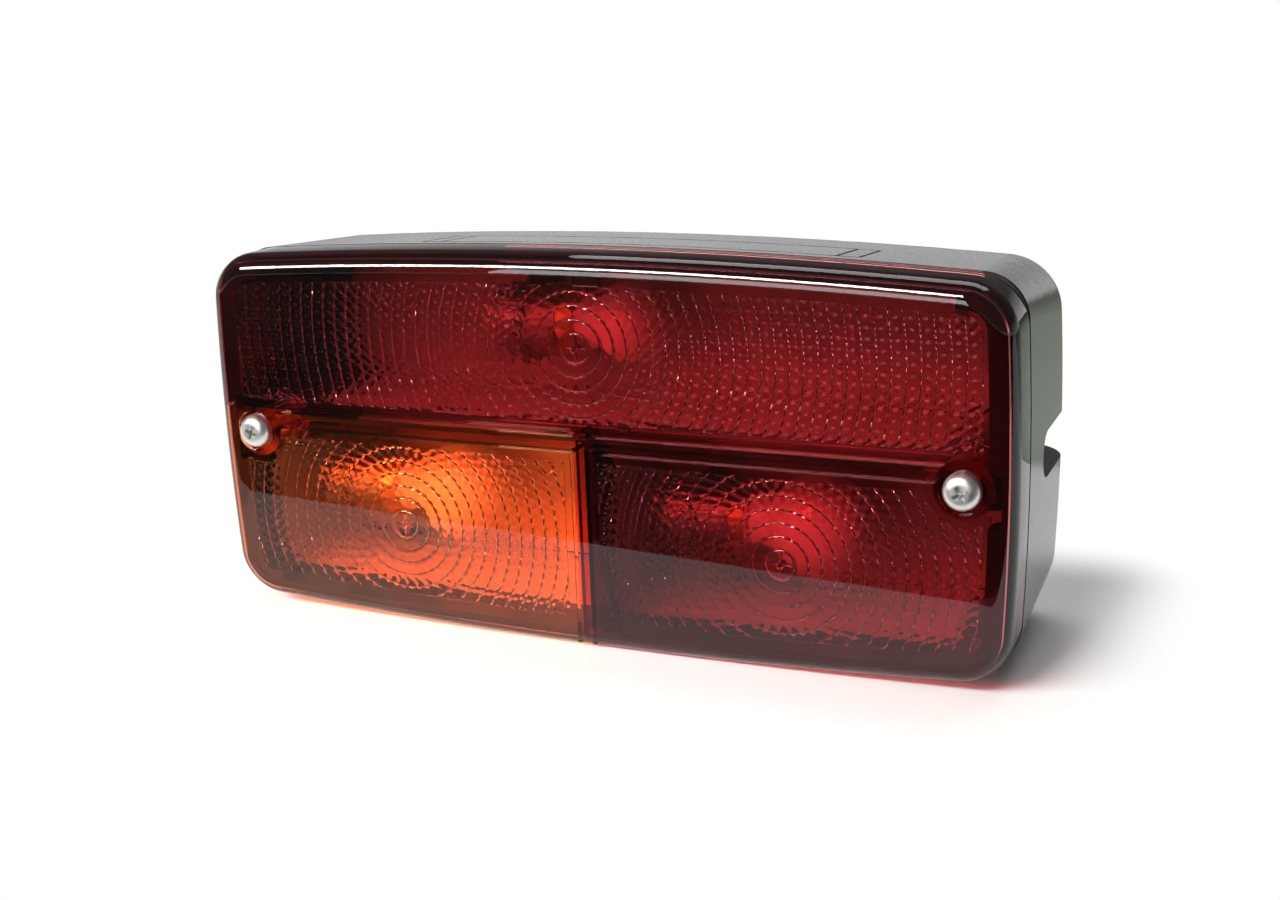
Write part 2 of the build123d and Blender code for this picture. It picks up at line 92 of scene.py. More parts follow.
MID_NOISE = (0.3, 0.7)

Piece = bpy.types.Object
Socket = bpy.types.NodeSocket
Material = bpy.types.Material
Point = tuple[float, float, float]
Colour = tuple[float, float, float]


class Domain(Enum):
    """What a selection picks."""

    VERTEX = "VERT"
    EDGE = "EDGE"
    FACE = "FACE"


class Blend(Enum):
    """How one closed form acts on another."""

    UNION = "UNION"
    CUT = "DIFFERENCE"
    TRIM = "INTERSECT"


class Primitive(Enum):
    """The plain start of a modelled piece."""

    PLANE = "plane"
    CUBE = "cube"
    CYLINDER = "cylinder"
    GRID = "grid"
    BALL = "ball"
    RING = "ring"


# Modelling calls that every piece uses


def clear_selection() -> None:
    """Leaves edit mode and deselects every object."""
    active = bpy.context.view_layer.objects.active
    if active is not None and active.mode != "OBJECT":
        bpy.ops.object.mode_set(mode="OBJECT")
    bpy.ops.object.select_all(action="DESELECT")


def make_active(piece: Piece) -> None:
    """Selects one piece and nothing else, in object mode.

    Args:
        piece: the piece to select.
    """
    clear_selection()
    piece.select_set(True)
    bpy.context.view_layer.objects.active = piece


def start(name: str, kind: Primitive, place: Point, size: Point, turn: Point = (0, 0, 0),
          sides: int = ROUND_SIDES) -> Piece:
    """Adds a primitive of unit half size, stretched, turned and moved into place, with its place in its mesh.

    Args:
        name: name of the new piece.
        kind: the primitive to start from.
        place: its middle.
        size: half sizes along its own axes before it is turned.
        turn: Euler angles in radians.
        sides: sides of a round primitive, or cuts of a grid.

    Returns:
        The new piece, active and in object mode.
    """
    clear_selection()
    where = {"location": place, "rotation": turn}
    if kind is Primitive.PLANE:
        bpy.ops.mesh.primitive_plane_add(size=2, **where)
    elif kind is Primitive.CUBE:
        bpy.ops.mesh.primitive_cube_add(size=2, **where)
    elif kind is Primitive.CYLINDER:
        bpy.ops.mesh.primitive_cylinder_add(radius=1, depth=2, vertices=sides, **where)
    elif kind is Primitive.GRID:
        bpy.ops.mesh.primitive_grid_add(x_subdivisions=sides, y_subdivisions=sides, size=2, **where)
    elif kind is Primitive.BALL:
        bpy.ops.mesh.primitive_uv_sphere_add(radius=1, segments=sides, ring_count=sides // 2, **where)
    else:
        bpy.ops.mesh.primitive_torus_add(major_radius=1, minor_radius=WIRE_SHARE, major_segments=sides,
                                         minor_segments=WIRE_SIDES, **where)
    piece = bpy.context.view_layer.objects.active
    piece.name = name
    piece.data.name = name
    piece.scale = size
    bpy.ops.object.transform_apply(location=True, rotation=True, scale=True)
    return piece


def pick(piece: Piece, domain: Domain, test: Callable[[Any], bool]) -> int:
    """Selects, in edit mode, just the vertices, edges or faces that pass a test.

    Args:
        piece: the piece to edit.
        domain: what to select.
        test: takes a vertex, edge or face of the edited mesh and says whether it is wanted.

    Returns:
        How many were selected.
    """
    if piece.mode != "EDIT":
        make_active(piece)
        bpy.ops.object.mode_set(mode="EDIT")
    bpy.ops.mesh.select_mode(type=domain.value)
    bpy.ops.mesh.select_all(action="DESELECT")
    form = bmesh.from_edit_mesh(piece.data)
    items = {Domain.VERTEX: form.verts, Domain.EDGE: form.edges, Domain.FACE: form.faces}[domain]
    wanted = [item for item in items if test(item)]
    for item in wanted:
        item.select_set(True)
    form.select_flush_mode()
    bmesh.update_edit_mesh(piece.data)
    return len(wanted)


def push(move: Point) -> None:
    """Extrudes what is selected by a move."""
    bpy.ops.mesh.extrude_region_move(TRANSFORM_OT_translate={"value": move})


def face_outwards(piece: Piece) -> None:
    """Merges doubles, turns every face outwards and leaves edit mode.

    Args:
        piece: the piece to close up.
    """
    pick(piece, Domain.VERTEX, lambda vertex: True)
    bpy.ops.mesh.remove_doubles(threshold=DOUBLES)
    bpy.ops.mesh.normals_make_consistent(inside=False)
    bpy.ops.object.mode_set(mode="OBJECT")


def combine(piece: Piece, tool: Piece, how: Blend) -> None:
    """Joins, cuts or trims a closed piece by another, which is used up.

    Args:
        piece: the piece that stays.
        tool: the closed form that acts on it.
        how: joining, cutting or trimming.
    """
    make_active(piece)
    modifier = piece.modifiers.new("combine", "BOOLEAN")
    modifier.operation = how.value
    modifier.object = tool
    modifier.solver = "MANIFOLD"
    bpy.ops.object.modifier_apply(modifier=modifier.name)
    bpy.data.objects.remove(tool, do_unlink=True)


def twin(piece: Piece, name: str, move: Point = (0, 0, 0)) -> Piece:
    """Copies a piece with a mesh of its own, moved by a step.

    Args:
        piece: the piece to copy.
        name: name of the copy.
        move: the step.

    Returns:
        The copy.
    """
    copy = piece.copy()
    copy.data = piece.data.copy()
    copy.name = name
    copy.data.name = name
    bpy.context.scene.collection.objects.link(copy)
    copy.data.transform(Matrix.Translation(move))
    return copy


def join(pieces: Sequence[Piece], name: str) -> Piece:
    """Joins several pieces into one mesh under a new name.

    Args:
        pieces: what to join; the first one takes the others in.
        name: name of the whole.

    Returns:
        The joined piece.
    """
    make_active(pieces[0])
    for piece in pieces:
        piece.select_set(True)
    bpy.ops.object.join()
    pieces[0].name = name
    pieces[0].data.name = name
    return pieces[0]


def smooth(piece: Piece, degrees: float) -> None:
    """Shades a piece smooth, with creases where faces turn by more than an angle."""
    make_active(piece)
    bpy.ops.object.shade_smooth_by_angle(angle=math.radians(degrees))


def rod(name: str, ends: tuple[Point, Point], radius: float, sides: int = ROUND_SIDES) -> Piece:
    """Starts a cylinder that runs from one point to another.

    Args:
        name: name of the new piece.
        ends: the two end points of its axis.
        radius: its radius.
        sides: its number of sides.

    Returns:
        The new cylinder.
    """
    low, high = Vector(ends[0]), Vector(ends[1])
    run = high - low
    turn = run.to_track_quat("Z", "Y").to_euler()
    return start(name, Primitive.CYLINDER, tuple((low + high) / 2), (radius, radius, run.length / 2),
                 tuple(turn), sides)


def turn(piece: Piece, axis: int, centre: Point, stations: Sequence[tuple[float, float]]) -> None:
    """Carries a round end face along an axis, one station at a time, as on a lathe.

    Args:
        piece: the piece, with its end face at the first station.
        axis: 0 for X or 1 for Y.
        centre: a point on the axis.
        stations: place along the axis and radius, from the end face on.
    """
    at, radius = stations[0]
    pick(piece, Domain.FACE, lambda face: all(abs(v.co[axis] - at) < EXACT for v in face.verts))
    for place, size in stations[1:]:
        move = [0.0, 0.0, 0.0]
        move[axis] = place - at
        push(tuple(move))
        factor = [size / radius] * 3
        factor[axis] = 1.0
        bpy.ops.transform.resize(value=factor, center_override=centre)
        at, radius = place, size
    bpy.ops.object.mode_set(mode="OBJECT")


def thread(first: float, last: float, pitch: float, crest: float, root: float) -> list[tuple[float, float]]:
    """Stations of a run of thread ridges, for turn to follow.

    Args:
        first: where the thread starts along its axis.
        last: where it ends.
        pitch: from one ridge to the next.
        crest: radius on the ridges.
        root: radius between them.

    Returns:
        Place along the axis and radius, in order.
    """
    count = int(abs(last - first) / pitch)
    step = math.copysign(pitch, last - first)
    ridges = []
    for ridge in range(count):
        low = first + ridge * step
        ridges += [(low + share * step, radius) for share, radius in
                   ((0.2, root), (0.45, crest), (0.55, crest), (0.8, root))]
    return ridges


def settle(piece: Piece, finish: Material, slot: str, *nodes: str) -> None:
    """Gives a modelled piece its finish and its body, and hides the solids that it stands for.

    Args:
        piece: the finished piece.
        finish: its material.
        slot: name of its slot; not used.
        nodes: the solids that it replaces.
    """
    piece.data.materials.clear()
    piece.data.materials.append(finish)
    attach(piece, BODY)
    if nodes:
        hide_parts(*nodes)
    LOG.info("%s: %d faces", piece.name, len(piece.data.polygons))


# Finishes


class NodeSheet:
    """The node tree of a material or a world, with short calls for the nodes that they share."""

    def __init__(self, owner: Material | bpy.types.World, output: str = "Material",
                 space: str = "Object") -> None:
        """Empties the owner's tree and starts it again.

        Args:
            owner: the material or world.
            output: kind of its output node.
            space: the coordinates that its patterns read.
        """
        self.owner = owner
        owner.use_nodes = True
        self.tree = owner.node_tree
        self.tree.nodes.clear()
        self.output = self.node("ShaderNodeOutput" + output)
        self.place = self.node("ShaderNodeTexCoord").outputs[space]

    @classmethod
    def of_material(cls, name: str) -> "NodeSheet":
        """Starts a new material."""
        return cls(bpy.data.materials.new(name))

    def node(self, kind: str, **values: Any) -> bpy.types.Node:
        """Adds a node and sets its sockets, named with _ for spaces.

        Args:
            kind: the node's type.
            values: plain values of its sockets.

        Returns:
            The node.
        """
        node = self.tree.nodes.new(kind)
        for name, value in values.items():
            node.inputs[name.replace("_", " ")].default_value = value
        return node

    def link(self, source: Socket, target: Socket) -> None:
        """Joins two sockets."""
        self.tree.links.new(source, target)

    def noise(self, scale: float, detail: float = 3.0, stretch: Point = (1, 1, 1)) -> Socket:
        """Noise in the piece's own space.

        Args:
            scale: waves to a metre.
            detail: octaves.
            stretch: factors along the axes, for brushed or drawn surfaces.

        Returns:
            The noise value's socket.
        """
        mapping = self.node("ShaderNodeMapping", Scale=stretch)
        noise = self.node("ShaderNodeTexNoise", Scale=scale, Detail=detail)
        self.link(self.place, mapping.inputs["Vector"])
        self.link(mapping.outputs["Vector"], noise.inputs["Vector"])
        return noise.outputs["Fac"]

    def tones(self, source: Socket, dark: Colour, light: Colour) -> Socket:
        """Runs a value between two colours.

        Args:
            source: the value, from noise.
            dark: the colour at its low end.
            light: the colour at its high end.

        Returns:
            The colour's socket.
        """
        ramp = self.node("ShaderNodeValToRGB")
        for element, position, colour in zip(ramp.color_ramp.elements, MID_NOISE, (dark, light)):
            element.position, element.color = position, (*colour, 1)
        self.link(source, ramp.inputs["Fac"])
        return ramp.outputs["Color"]

    def spread(self, source: Socket, low: float, high: float,
               reach: tuple[float, float] = MID_NOISE) -> Socket:
        """Runs a value between two numbers.

        Args:
            source: the value.
            low: the number at the start of its reach.
            high: the number at the end.
            reach: the part of the value's range that counts.

        Returns:
            The number's socket.
        """
        node = self.node("ShaderNodeMapRange", From_Min=reach[0], From_Max=reach[1], To_Min=low, To_Max=high)
        self.link(source, node.inputs["Value"])
        return node.outputs["Result"]

    def math(self, operation: str, first: Any, second: Any = 0.0, third: Any = 0.0) -> Socket:
        """Adds a math step on sockets or plain numbers.

        Args:
            operation: what the step does.
            first: its first socket or number.
            second: its second one, if it has any.
            third: its third one, if it has any.

        Returns:
            The step's value.
        """
        node = self.node("ShaderNodeMath")
        node.operation = operation
        for target, source in zip(node.inputs, (first, second, third)):
            if isinstance(source, (int, float)):
                target.default_value = source
            else:
                self.link(source, target)
        return node.outputs["Value"]

    def less(self, value: Socket, limit: Any) -> Socket:
        """1 where a value is under a limit."""
        return self.math("LESS_THAN", value, limit)

    def more(self, value: Socket, limit: Any) -> Socket:
        """1 where a value is over a limit."""
        return self.math("GREATER_THAN", value, limit)

    def product(self, *shares: Socket) -> Socket:
        """Multiplies two or more values."""
        return functools.reduce(lambda left, right: self.math("MULTIPLY", left, right), shares)

    def axes(self) -> tuple[Socket, ...]:
        """Splits the place into its axes.

        Returns:
            The sockets of X, Y and Z.
        """
        split = self.node("ShaderNodeSeparateXYZ")
        self.link(self.place, split.inputs["Vector"])
        return tuple(split.outputs[axis] for axis in "XYZ")

    def bump(self, source: Socket, depth: float) -> Socket:
        """Turns a value into fine relief.

        Args:
            source: the value.
            depth: the relief's depth in metres.

        Returns:
            The normal's socket.
        """
        node = self.node("ShaderNodeBump", Distance=depth)
        self.link(source, node.inputs["Height"])
        return node.outputs["Normal"]

    def coat(self, share: Socket, below: Any, above: Socket) -> Socket:
        """Lays one colour over another.

        Args:
            share: where the upper colour shows.
            below: the lower colour, or its socket.
            above: the upper colour's socket.

        Returns:
            The colour that shows.
        """
        node = self.node("ShaderNodeMix")
        node.data_type = "RGBA"
        self.link(share, node.inputs["Factor"])
        if isinstance(below, tuple):
            node.inputs["A"].default_value = (*below, 1)
        else:
            self.link(below, node.inputs["A"])
        self.link(above, node.inputs["B"])
        return node.outputs["Result"]

    def choose(self, share: Socket, first: bpy.types.Node, second: bpy.types.Node) -> bpy.types.Node:
        """Mixes two shaders.

        Args:
            share: how much of the second shader shows.
            first: the first shader.
            second: the second shader.

        Returns:
            The mixing node.
        """
        mix = self.node("ShaderNodeMixShader")
        for source, target in zip((share, first.outputs[0], second.outputs[0]), mix.inputs):
            self.link(source, target)
        return mix

    def close(self, shader: bpy.types.Node) -> Material | bpy.types.World:
        """Ends the tree with its surface and gives the owner."""
        self.link(shader.outputs[0], self.output.inputs["Surface"])
        return self.owner


@dataclass(frozen=True)
class OpaqueFinish:
    """A plastic, rubber, laminate or plated surface with mottled colour, gloss and fine relief."""

    name: str
    dark: Colour
    light: Colour
    gloss: tuple[float, float]
    grain: float
    relief: float
    metal: float = 0.0
    drawn: Point = (1, 1, 1)

    def build(self) -> Material:
        """Makes the material.

        Returns:
            The material.
        """
        sheet = NodeSheet.of_material(self.name)
        shader = sheet.node("ShaderNodeBsdfPrincipled", Metallic=self.metal)
        cloud = sheet.noise(CLOUD_WAVES)
        grain = sheet.noise(self.grain, GRAIN_DETAIL, self.drawn)
        sheet.link(sheet.tones(cloud, self.dark, self.light), shader.inputs["Base Color"])
        sheet.link(sheet.spread(grain, *self.gloss), shader.inputs["Roughness"])
        sheet.link(sheet.bump(grain, self.relief), shader.inputs["Normal"])
        return sheet.close(shader)


@dataclass(frozen=True)
class HousingFinish:
    """Black glossy moulding, painted a dull silver inside its chambers."""

    name: str
    half_width: float
    half_height: float
    rim: float
    wall: float = 2.6 * MM
    long_crown: float = 3.4 * MM
    long_draw: float = 3.2 * MM
    side_crown: float = 1.4 * MM
    paint_back: float = 12.0 * MM
    paint_front: float = 42.0 * MM
    amber_top: float = 3.0 * MM
    boss_inner: float = 78.0 * MM
    boss_half: float = 8.0 * MM
    boss_x: float = 86.5 * MM
    boss_radius: float = 6.6 * MM
    boss_back: float = 30.0 * MM
    black: Colour = (0.013, 0.016, 0.014)
    grey: Colour = (0.022, 0.026, 0.023)
    paint_half: float = 81.0 * MM
    silver: tuple[Colour, Colour] = ((0.46, 0.46, 0.45), (0.56, 0.56, 0.55))
    gloss: tuple[float, float] = (0.15, 0.22)
    matt: float = 0.45
    grain: float = 1400.0
    relief: float = 0.0015 * MM

    def painted(self, sheet: NodeSheet) -> Socket:
        """Share of paint: full on the chambers' walls and the bosses' ends, none outside or on the lip.

        Args:
            sheet: the housing's node sheet.

        Returns:
            The share's socket.
        """
        x, y, z = sheet.axes()
        wide, tall = sheet.math("ABSOLUTE", x), sheet.math("ABSOLUTE", z)
        off_middle = sheet.math("POWER", sheet.math("DIVIDE", x, self.half_width), 2.0)
        bow = sheet.math("MULTIPLY", off_middle, self.long_crown)
        lean = sheet.math("MULTIPLY_ADD", y, self.long_draw / self.rim, self.long_draw)
        limit = sheet.math("SUBTRACT", sheet.math("SUBTRACT", self.half_height - self.wall / 2, bow), lean)
        side = self.half_width - self.side_crown - self.wall / 2
        amber = sheet.product(sheet.less(x, 0.0), sheet.less(z, self.amber_top))
        ends = sheet.math("MAXIMUM", amber, sheet.less(wide, self.paint_half))
        boss = sheet.product(sheet.more(wide, self.boss_inner), sheet.less(tall, self.boss_half))
        walls = sheet.product(sheet.less(tall, limit), sheet.less(wide, side), ends,
                              sheet.less(y, -self.paint_back), sheet.more(y, -self.paint_front),
                              sheet.math("SUBTRACT", 1.0, boss))
        across = sheet.math("POWER", sheet.math("SUBTRACT", wide, self.boss_x), 2.0)
        reach = sheet.math("SQRT", sheet.math("MULTIPLY_ADD", z, z, across))
        disc = sheet.product(sheet.less(reach, self.boss_radius), sheet.less(y, -self.boss_back))
        return sheet.math("MAXIMUM", walls, disc)

    def build(self) -> Material:
        """Makes the material.

        Returns:
            The material.
        """
        sheet = NodeSheet.of_material(self.name)
        shader = sheet.node("ShaderNodeBsdfPrincipled")
        cloud, grain = sheet.noise(CLOUD_WAVES), sheet.noise(self.grain, GRAIN_DETAIL)
        share = self.painted(sheet)
        plastic, paint = sheet.tones(cloud, self.black, self.grey), sheet.tones(cloud, *self.silver)
        sheet.link(sheet.coat(share, plastic, paint), shader.inputs["Base Color"])
        dull = sheet.math("MULTIPLY", share, self.matt - self.gloss[0])
        sheet.link(sheet.math("ADD", dull, sheet.spread(grain, *self.gloss)), shader.inputs["Roughness"])
        sheet.link(sheet.bump(grain, self.relief), shader.inputs["Normal"])
        return sheet.close(shader)


@dataclass(frozen=True)
class PlateFinish:
    """A pressed back plate, bright in the middle of the lamp and black at its outer end: painted shade where
    the chamber's end lies in shade.
    """

    name: str
    dark: Colour
    light: Colour
    # Painted shade: beyond this distance from the middle the plate takes the black below, standing in for the
    # shade at the chamber's end.
    unshaded_half: float = 86.0 * MM
    painted_end_shade: Colour = (0.012, 0.012, 0.012)
    gloss: tuple[float, float] = (0.34, 0.52)
    grain: float = 420.0
    drawn: Point = (0.12, 1, 1)
    relief: float = 0.012 * MM
    metal: float = 0.30

    def build(self) -> Material:
        """Makes the material.

        Returns:
            The material.
        """
        sheet = NodeSheet.of_material(self.name)
        shader = sheet.node("ShaderNodeBsdfPrincipled")
        grain = sheet.noise(self.grain, GRAIN_DETAIL, self.drawn)
        bright = sheet.less(sheet.math("ABSOLUTE", sheet.axes()[0]), self.unshaded_half)
        metal = sheet.tones(sheet.noise(CLOUD_WAVES), self.dark, self.light)
        # Painted shade: the plate turns black at its outer end, where the chamber's end lies in shade.
        sheet.link(sheet.coat(bright, self.painted_end_shade, metal), shader.inputs["Base Color"])
        sheet.link(sheet.math("MULTIPLY", bright, self.metal), shader.inputs["Metallic"])
        sheet.link(sheet.spread(grain, *self.gloss), shader.inputs["Roughness"])
        sheet.link(sheet.bump(grain, self.relief), shader.inputs["Normal"])
        return sheet.close(shader)


@dataclass(frozen=True)
class ClearFinish:
    """A see-through moulding or glass, tinted once at each surface, that lets the lamps' light in."""

    name: str
    dark: Colour
    light: Colour
    index: float
    gloss: tuple[float, float]
    waves: float
    relief: float
    clear: float = 1.0

    def build(self) -> Material:
        """Makes the material: refraction to the eye, tinted clear to the lamps.

        Returns:
            The material.
        """
        sheet = NodeSheet.of_material(self.name)
        glass = sheet.node("ShaderNodeBsdfPrincipled", Transmission_Weight=self.clear, IOR=self.index)
        cloud = sheet.noise(self.waves)
        tint = sheet.tones(cloud, self.dark, self.light)
        sheet.link(tint, glass.inputs["Base Color"])
        sheet.link(sheet.spread(cloud, *self.gloss), glass.inputs["Roughness"])
        sheet.link(sheet.bump(cloud, self.relief), glass.inputs["Normal"])
        clear = sheet.node("ShaderNodeBsdfTransparent")
        sheet.link(tint, clear.inputs["Color"])
        rays = sheet.node("ShaderNodeLightPath")
        return sheet.close(sheet.choose(rays.outputs["Is Shadow Ray"], glass, clear))


class Finishes:
    """Every finish of the lamp, made once."""

    def __init__(self, half_width: float, half_height: float, rim: float) -> None:
        """Makes the materials.

        Args:
            half_width: half the lamp's width.
            half_height: half its height.
            rim: depth of the housing from its rear face to its rim.
        """
        self.housing = HousingFinish("black_moulded_housing", half_width, half_height, rim).build()
        self.rubber = OpaqueFinish("soft_black_rubber", (0.010, 0.010, 0.010), (0.028, 0.027, 0.026),
                                   (0.62, 0.82), 900.0, 0.04 * MM).build()
        self.zinc = OpaqueFinish("bright_zinc", (0.70, 0.70, 0.68), (0.84, 0.84, 0.82),
                                 (0.30, 0.42), 700.0, 0.004 * MM, 1.0).build()
        self.dull_zinc = OpaqueFinish("dull_zinc", (0.32, 0.32, 0.32), (0.44, 0.44, 0.43),
                                      (0.42, 0.60), 500.0, 0.01 * MM, 1.0).build()
        # The back plate in two copies of one finish, as painted light and shade: a darker copy for the tail
        # and stop reflectors and a lighter one, with no black end, for the indicator's reflector.
        self.plate = PlateFinish("shaded_back_plate", (0.36, 0.36, 0.36), (0.44, 0.44, 0.43)).build()
        self.bright_plate = PlateFinish("lit_back_plate", (0.46, 0.46, 0.45), (0.55, 0.55, 0.54),
                                        half_width).build()
        self.laminate = OpaqueFinish("brown_laminate", (0.12, 0.05, 0.022), (0.27, 0.13, 0.06),
                                     (0.45, 0.65), 500.0, 0.02 * MM).build()
        self.brass = OpaqueFinish("contact_brass", (0.62, 0.43, 0.16), (0.86, 0.66, 0.31),
                                  (0.38, 0.52), 600.0, 0.006 * MM, 1.0).build()
        self.tungsten = OpaqueFinish("filament_wire", (0.20, 0.19, 0.18), (0.42, 0.40, 0.38),
                                     (0.30, 0.45), 900.0, 0.002 * MM, 1.0).build()
        acrylic = (1.49, (0.006, 0.02), 26.0, 0.012 * MM)
        self.red = ClearFinish("red_acrylic", (0.545, 0.13, 0.14), (0.585, 0.145, 0.155), *acrylic).build()
        self.amber = ClearFinish("amber_acrylic", (0.965, 0.395, 0.18), (0.98, 0.435, 0.215),
                                 *acrylic).build()
        self.glass = ClearFinish("frosted_bulb_glass", (0.92, 0.93, 0.93), (0.99, 0.99, 0.99),
                                 1.46, (0.10, 0.22), 60.0, 0.01 * MM, 0.1).build()


# The lens


@dataclass(frozen=True)
class LampOutline:
    """The bowed rectangle that the lens, the gasket and the housing's rim share."""

    half_width: float
    half_height: float
    side_crown: float = 1.4 * MM
    long_crown: float = 3.4 * MM
    corner: float = 10.0 * MM
    corner_steps: int = 9
    long_cuts: int = 39
    side_cuts: int = 15

    def face(self, name: str, inset: float, depth: float) -> Piece:
        """Models the outline as one flat face that looks forward.

        Args:
            name: name of the new piece.
            inset: how far it lies inside the lamp's own outline.
            depth: its place along Y.

        Returns:
            The face, as a piece in object mode.
        """
        half_width = self.half_width - inset
        half_height = self.half_height - inset
        corner_x = half_width - self.side_crown * (half_height / self.half_height) ** 2
        corner_z = half_height - self.long_crown * (half_width / self.half_width) ** 2
        piece = start(name, Primitive.PLANE, (0, depth, 0), (corner_x, corner_z, 1), (QUARTER_TURN, 0, 0))
        pick(piece, Domain.VERTEX, lambda vertex: True)
        bpy.ops.mesh.bevel(offset=self.corner - inset, segments=self.corner_steps, affect="VERTICES")
        for side in (1, -1):
            for axis, edge_at, cuts in ((2, corner_z, self.long_cuts), (0, corner_x, self.side_cuts)):
                pick(piece, Domain.EDGE, lambda edge: edge.calc_length() > self.corner
                     and all(v.co[axis] * side > edge_at - CLOSE for v in edge.verts))
                bpy.ops.mesh.subdivide(number_cuts=cuts)
        bpy.ops.object.mode_set(mode="OBJECT")
        for vertex in piece.data.vertices:
            x, z = vertex.co.x, vertex.co.z
            vertex.co.x = x * (half_width - (half_width - corner_x) * (z / corner_z) ** 2) / corner_x
            vertex.co.z = z * (half_height - (half_height - corner_z) * (x / corner_x) ** 2) / corner_z
        return piece

    def slab(self, name: str, inset: float, front: float, back: float) -> Piece:
        """Models a closed slab of the outline between two depths.

        Args:
            name: name of the new piece.
            inset: how far it lies inside the lamp's own outline.
            front: its front along Y.
            back: its back along Y.

        Returns:
            The slab, in object mode.
        """
        piece = self.face(name, inset, front)
        pick(piece, Domain.FACE, lambda face: True)
        push((0, back - front, 0))
        face_outwards(piece)
        return piece


@dataclass(frozen=True)
class RingOptic:
    """Rings of small pillow cells about one bulb, moulded on the inner face of the lens."""

    x: float
    z: float
    level: float
    reach: float
    pitch: float = 3.1 * MM
    cell_arc: float = 2.4 * MM
    low: float = 0.20 * MM
    high: float = 0.50 * MM
    draft: float = 0.06 * MM
    ridge_share: float = 0.10
    crowding: float = 1.6
    ring_bulge: float = 0.06 * MM
    cell_bulge: float = 0.15 * MM
    plain_rings: int = 6
    root: float = 0.4 * MM
    eye: float = 0.7 * MM
    cuts: int = 6
    fewest_cells: int = 6

    def ring(self, index: int) -> Piece:
        """Models one ring: a thin ridge and a patch of pillow cells behind it, copied round the axis.

        Args:
            index: number of the ring, from the middle.

        Returns:
            The open ring, in object mode.
        """
        count = max(self.fewest_cells, round(FULL_TURN * (index + 0.5) * self.pitch / self.cell_arc))
        inner = index * self.pitch + self.draft if index else self.eye
        outer = (index + 1) * self.pitch - self.draft
        pillow = self.cell_bulge * min(1.0, index / self.plain_rings)
        cell = start(f"ring_{index}", Primitive.GRID, (0, 0, 0), (1, 1, 1), sides=self.cuts)
        for vertex in cell.data.vertices:
            across = ((vertex.co.x + 1) / 2) ** self.crowding
            along = vertex.co.y
            radius = inner + (outer - inner) * across
            angle = along * math.pi / count
            height = self.low + (self.high - self.low) * math.exp(-across / self.ridge_share)
            height += self.ring_bulge * 4 * across * (1 - across)
            height += pillow * math.cos(FULL_TURN * across) * math.cos(math.pi * along)
            vertex.co = (self.x + radius * math.cos(angle), self.level + height,
                         self.z + radius * math.sin(angle))
        pick(cell, Domain.VERTEX, lambda vertex: True)
        bpy.ops.mesh.spin(steps=count - 1, dupli=True, angle=FULL_TURN * (count - 1) / count,
                          center=(self.x, self.level, self.z), axis=(0, 1, 0))
        pick(cell, Domain.VERTEX, lambda vertex: True)
        bpy.ops.mesh.remove_doubles(threshold=TOUCH)
        bpy.ops.object.mode_set(mode="OBJECT")
        return cell

    def from_axis(self, vertex: bmesh.types.BMVert) -> float:
        """Distance of a vertex from the bulb's axis."""
        return math.hypot(vertex.co.x - self.x, vertex.co.z - self.z)

    def disc(self, name: str) -> Piece:
        """Models the whole closed disc of rings, bridged by their risers, on a flat root.

        Args:
            name: name of the new piece.

        Returns:
            The closed disc, in object mode.
        """
        count = math.ceil(self.reach / self.pitch)
        piece = join([self.ring(index) for index in range(count)], name)
        pick(piece, Domain.VERTEX, lambda vertex: False)
        form = bmesh.from_edit_mesh(piece.data)
        form.edges.index_update()
        risers: dict[int, list[int]] = {}
        for edge in form.edges:
            if edge.is_boundary:
                risers.setdefault(round(self.from_axis(edge.verts[0]) / self.pitch), []).append(edge.index)
        for index in range(1, count):
            self.select_edges(piece, risers[index])
            bpy.ops.mesh.bridge_edge_loops()
        self.select_edges(piece, risers[0])
        bpy.ops.mesh.edge_face_add()
        self.select_edges(piece, risers[count])
        bpy.ops.mesh.extrude_edges_move()
        bpy.ops.transform.resize(value=(1, 0, 1), center_override=(0, self.level - self.root, 0))
        bpy.ops.mesh.edge_face_add()
        face_outwards(piece)
        return piece

    @staticmethod
    def select_edges(piece: Piece, indices: Sequence[int]) -> None:
        """Selects edges of the edited mesh by their numbers.

        Args:
            piece: the piece in edit mode.
            indices: numbers of the edges.
        """
        bpy.ops.mesh.select_mode(type=Domain.EDGE.value)
        bpy.ops.mesh.select_all(action="DESELECT")
        form = bmesh.from_edit_mesh(piece.data)
        form.edges.ensure_lookup_table()
        for index in indices:
            form.edges[index].select_set(True)
        bmesh.update_edit_mesh(piece.data)


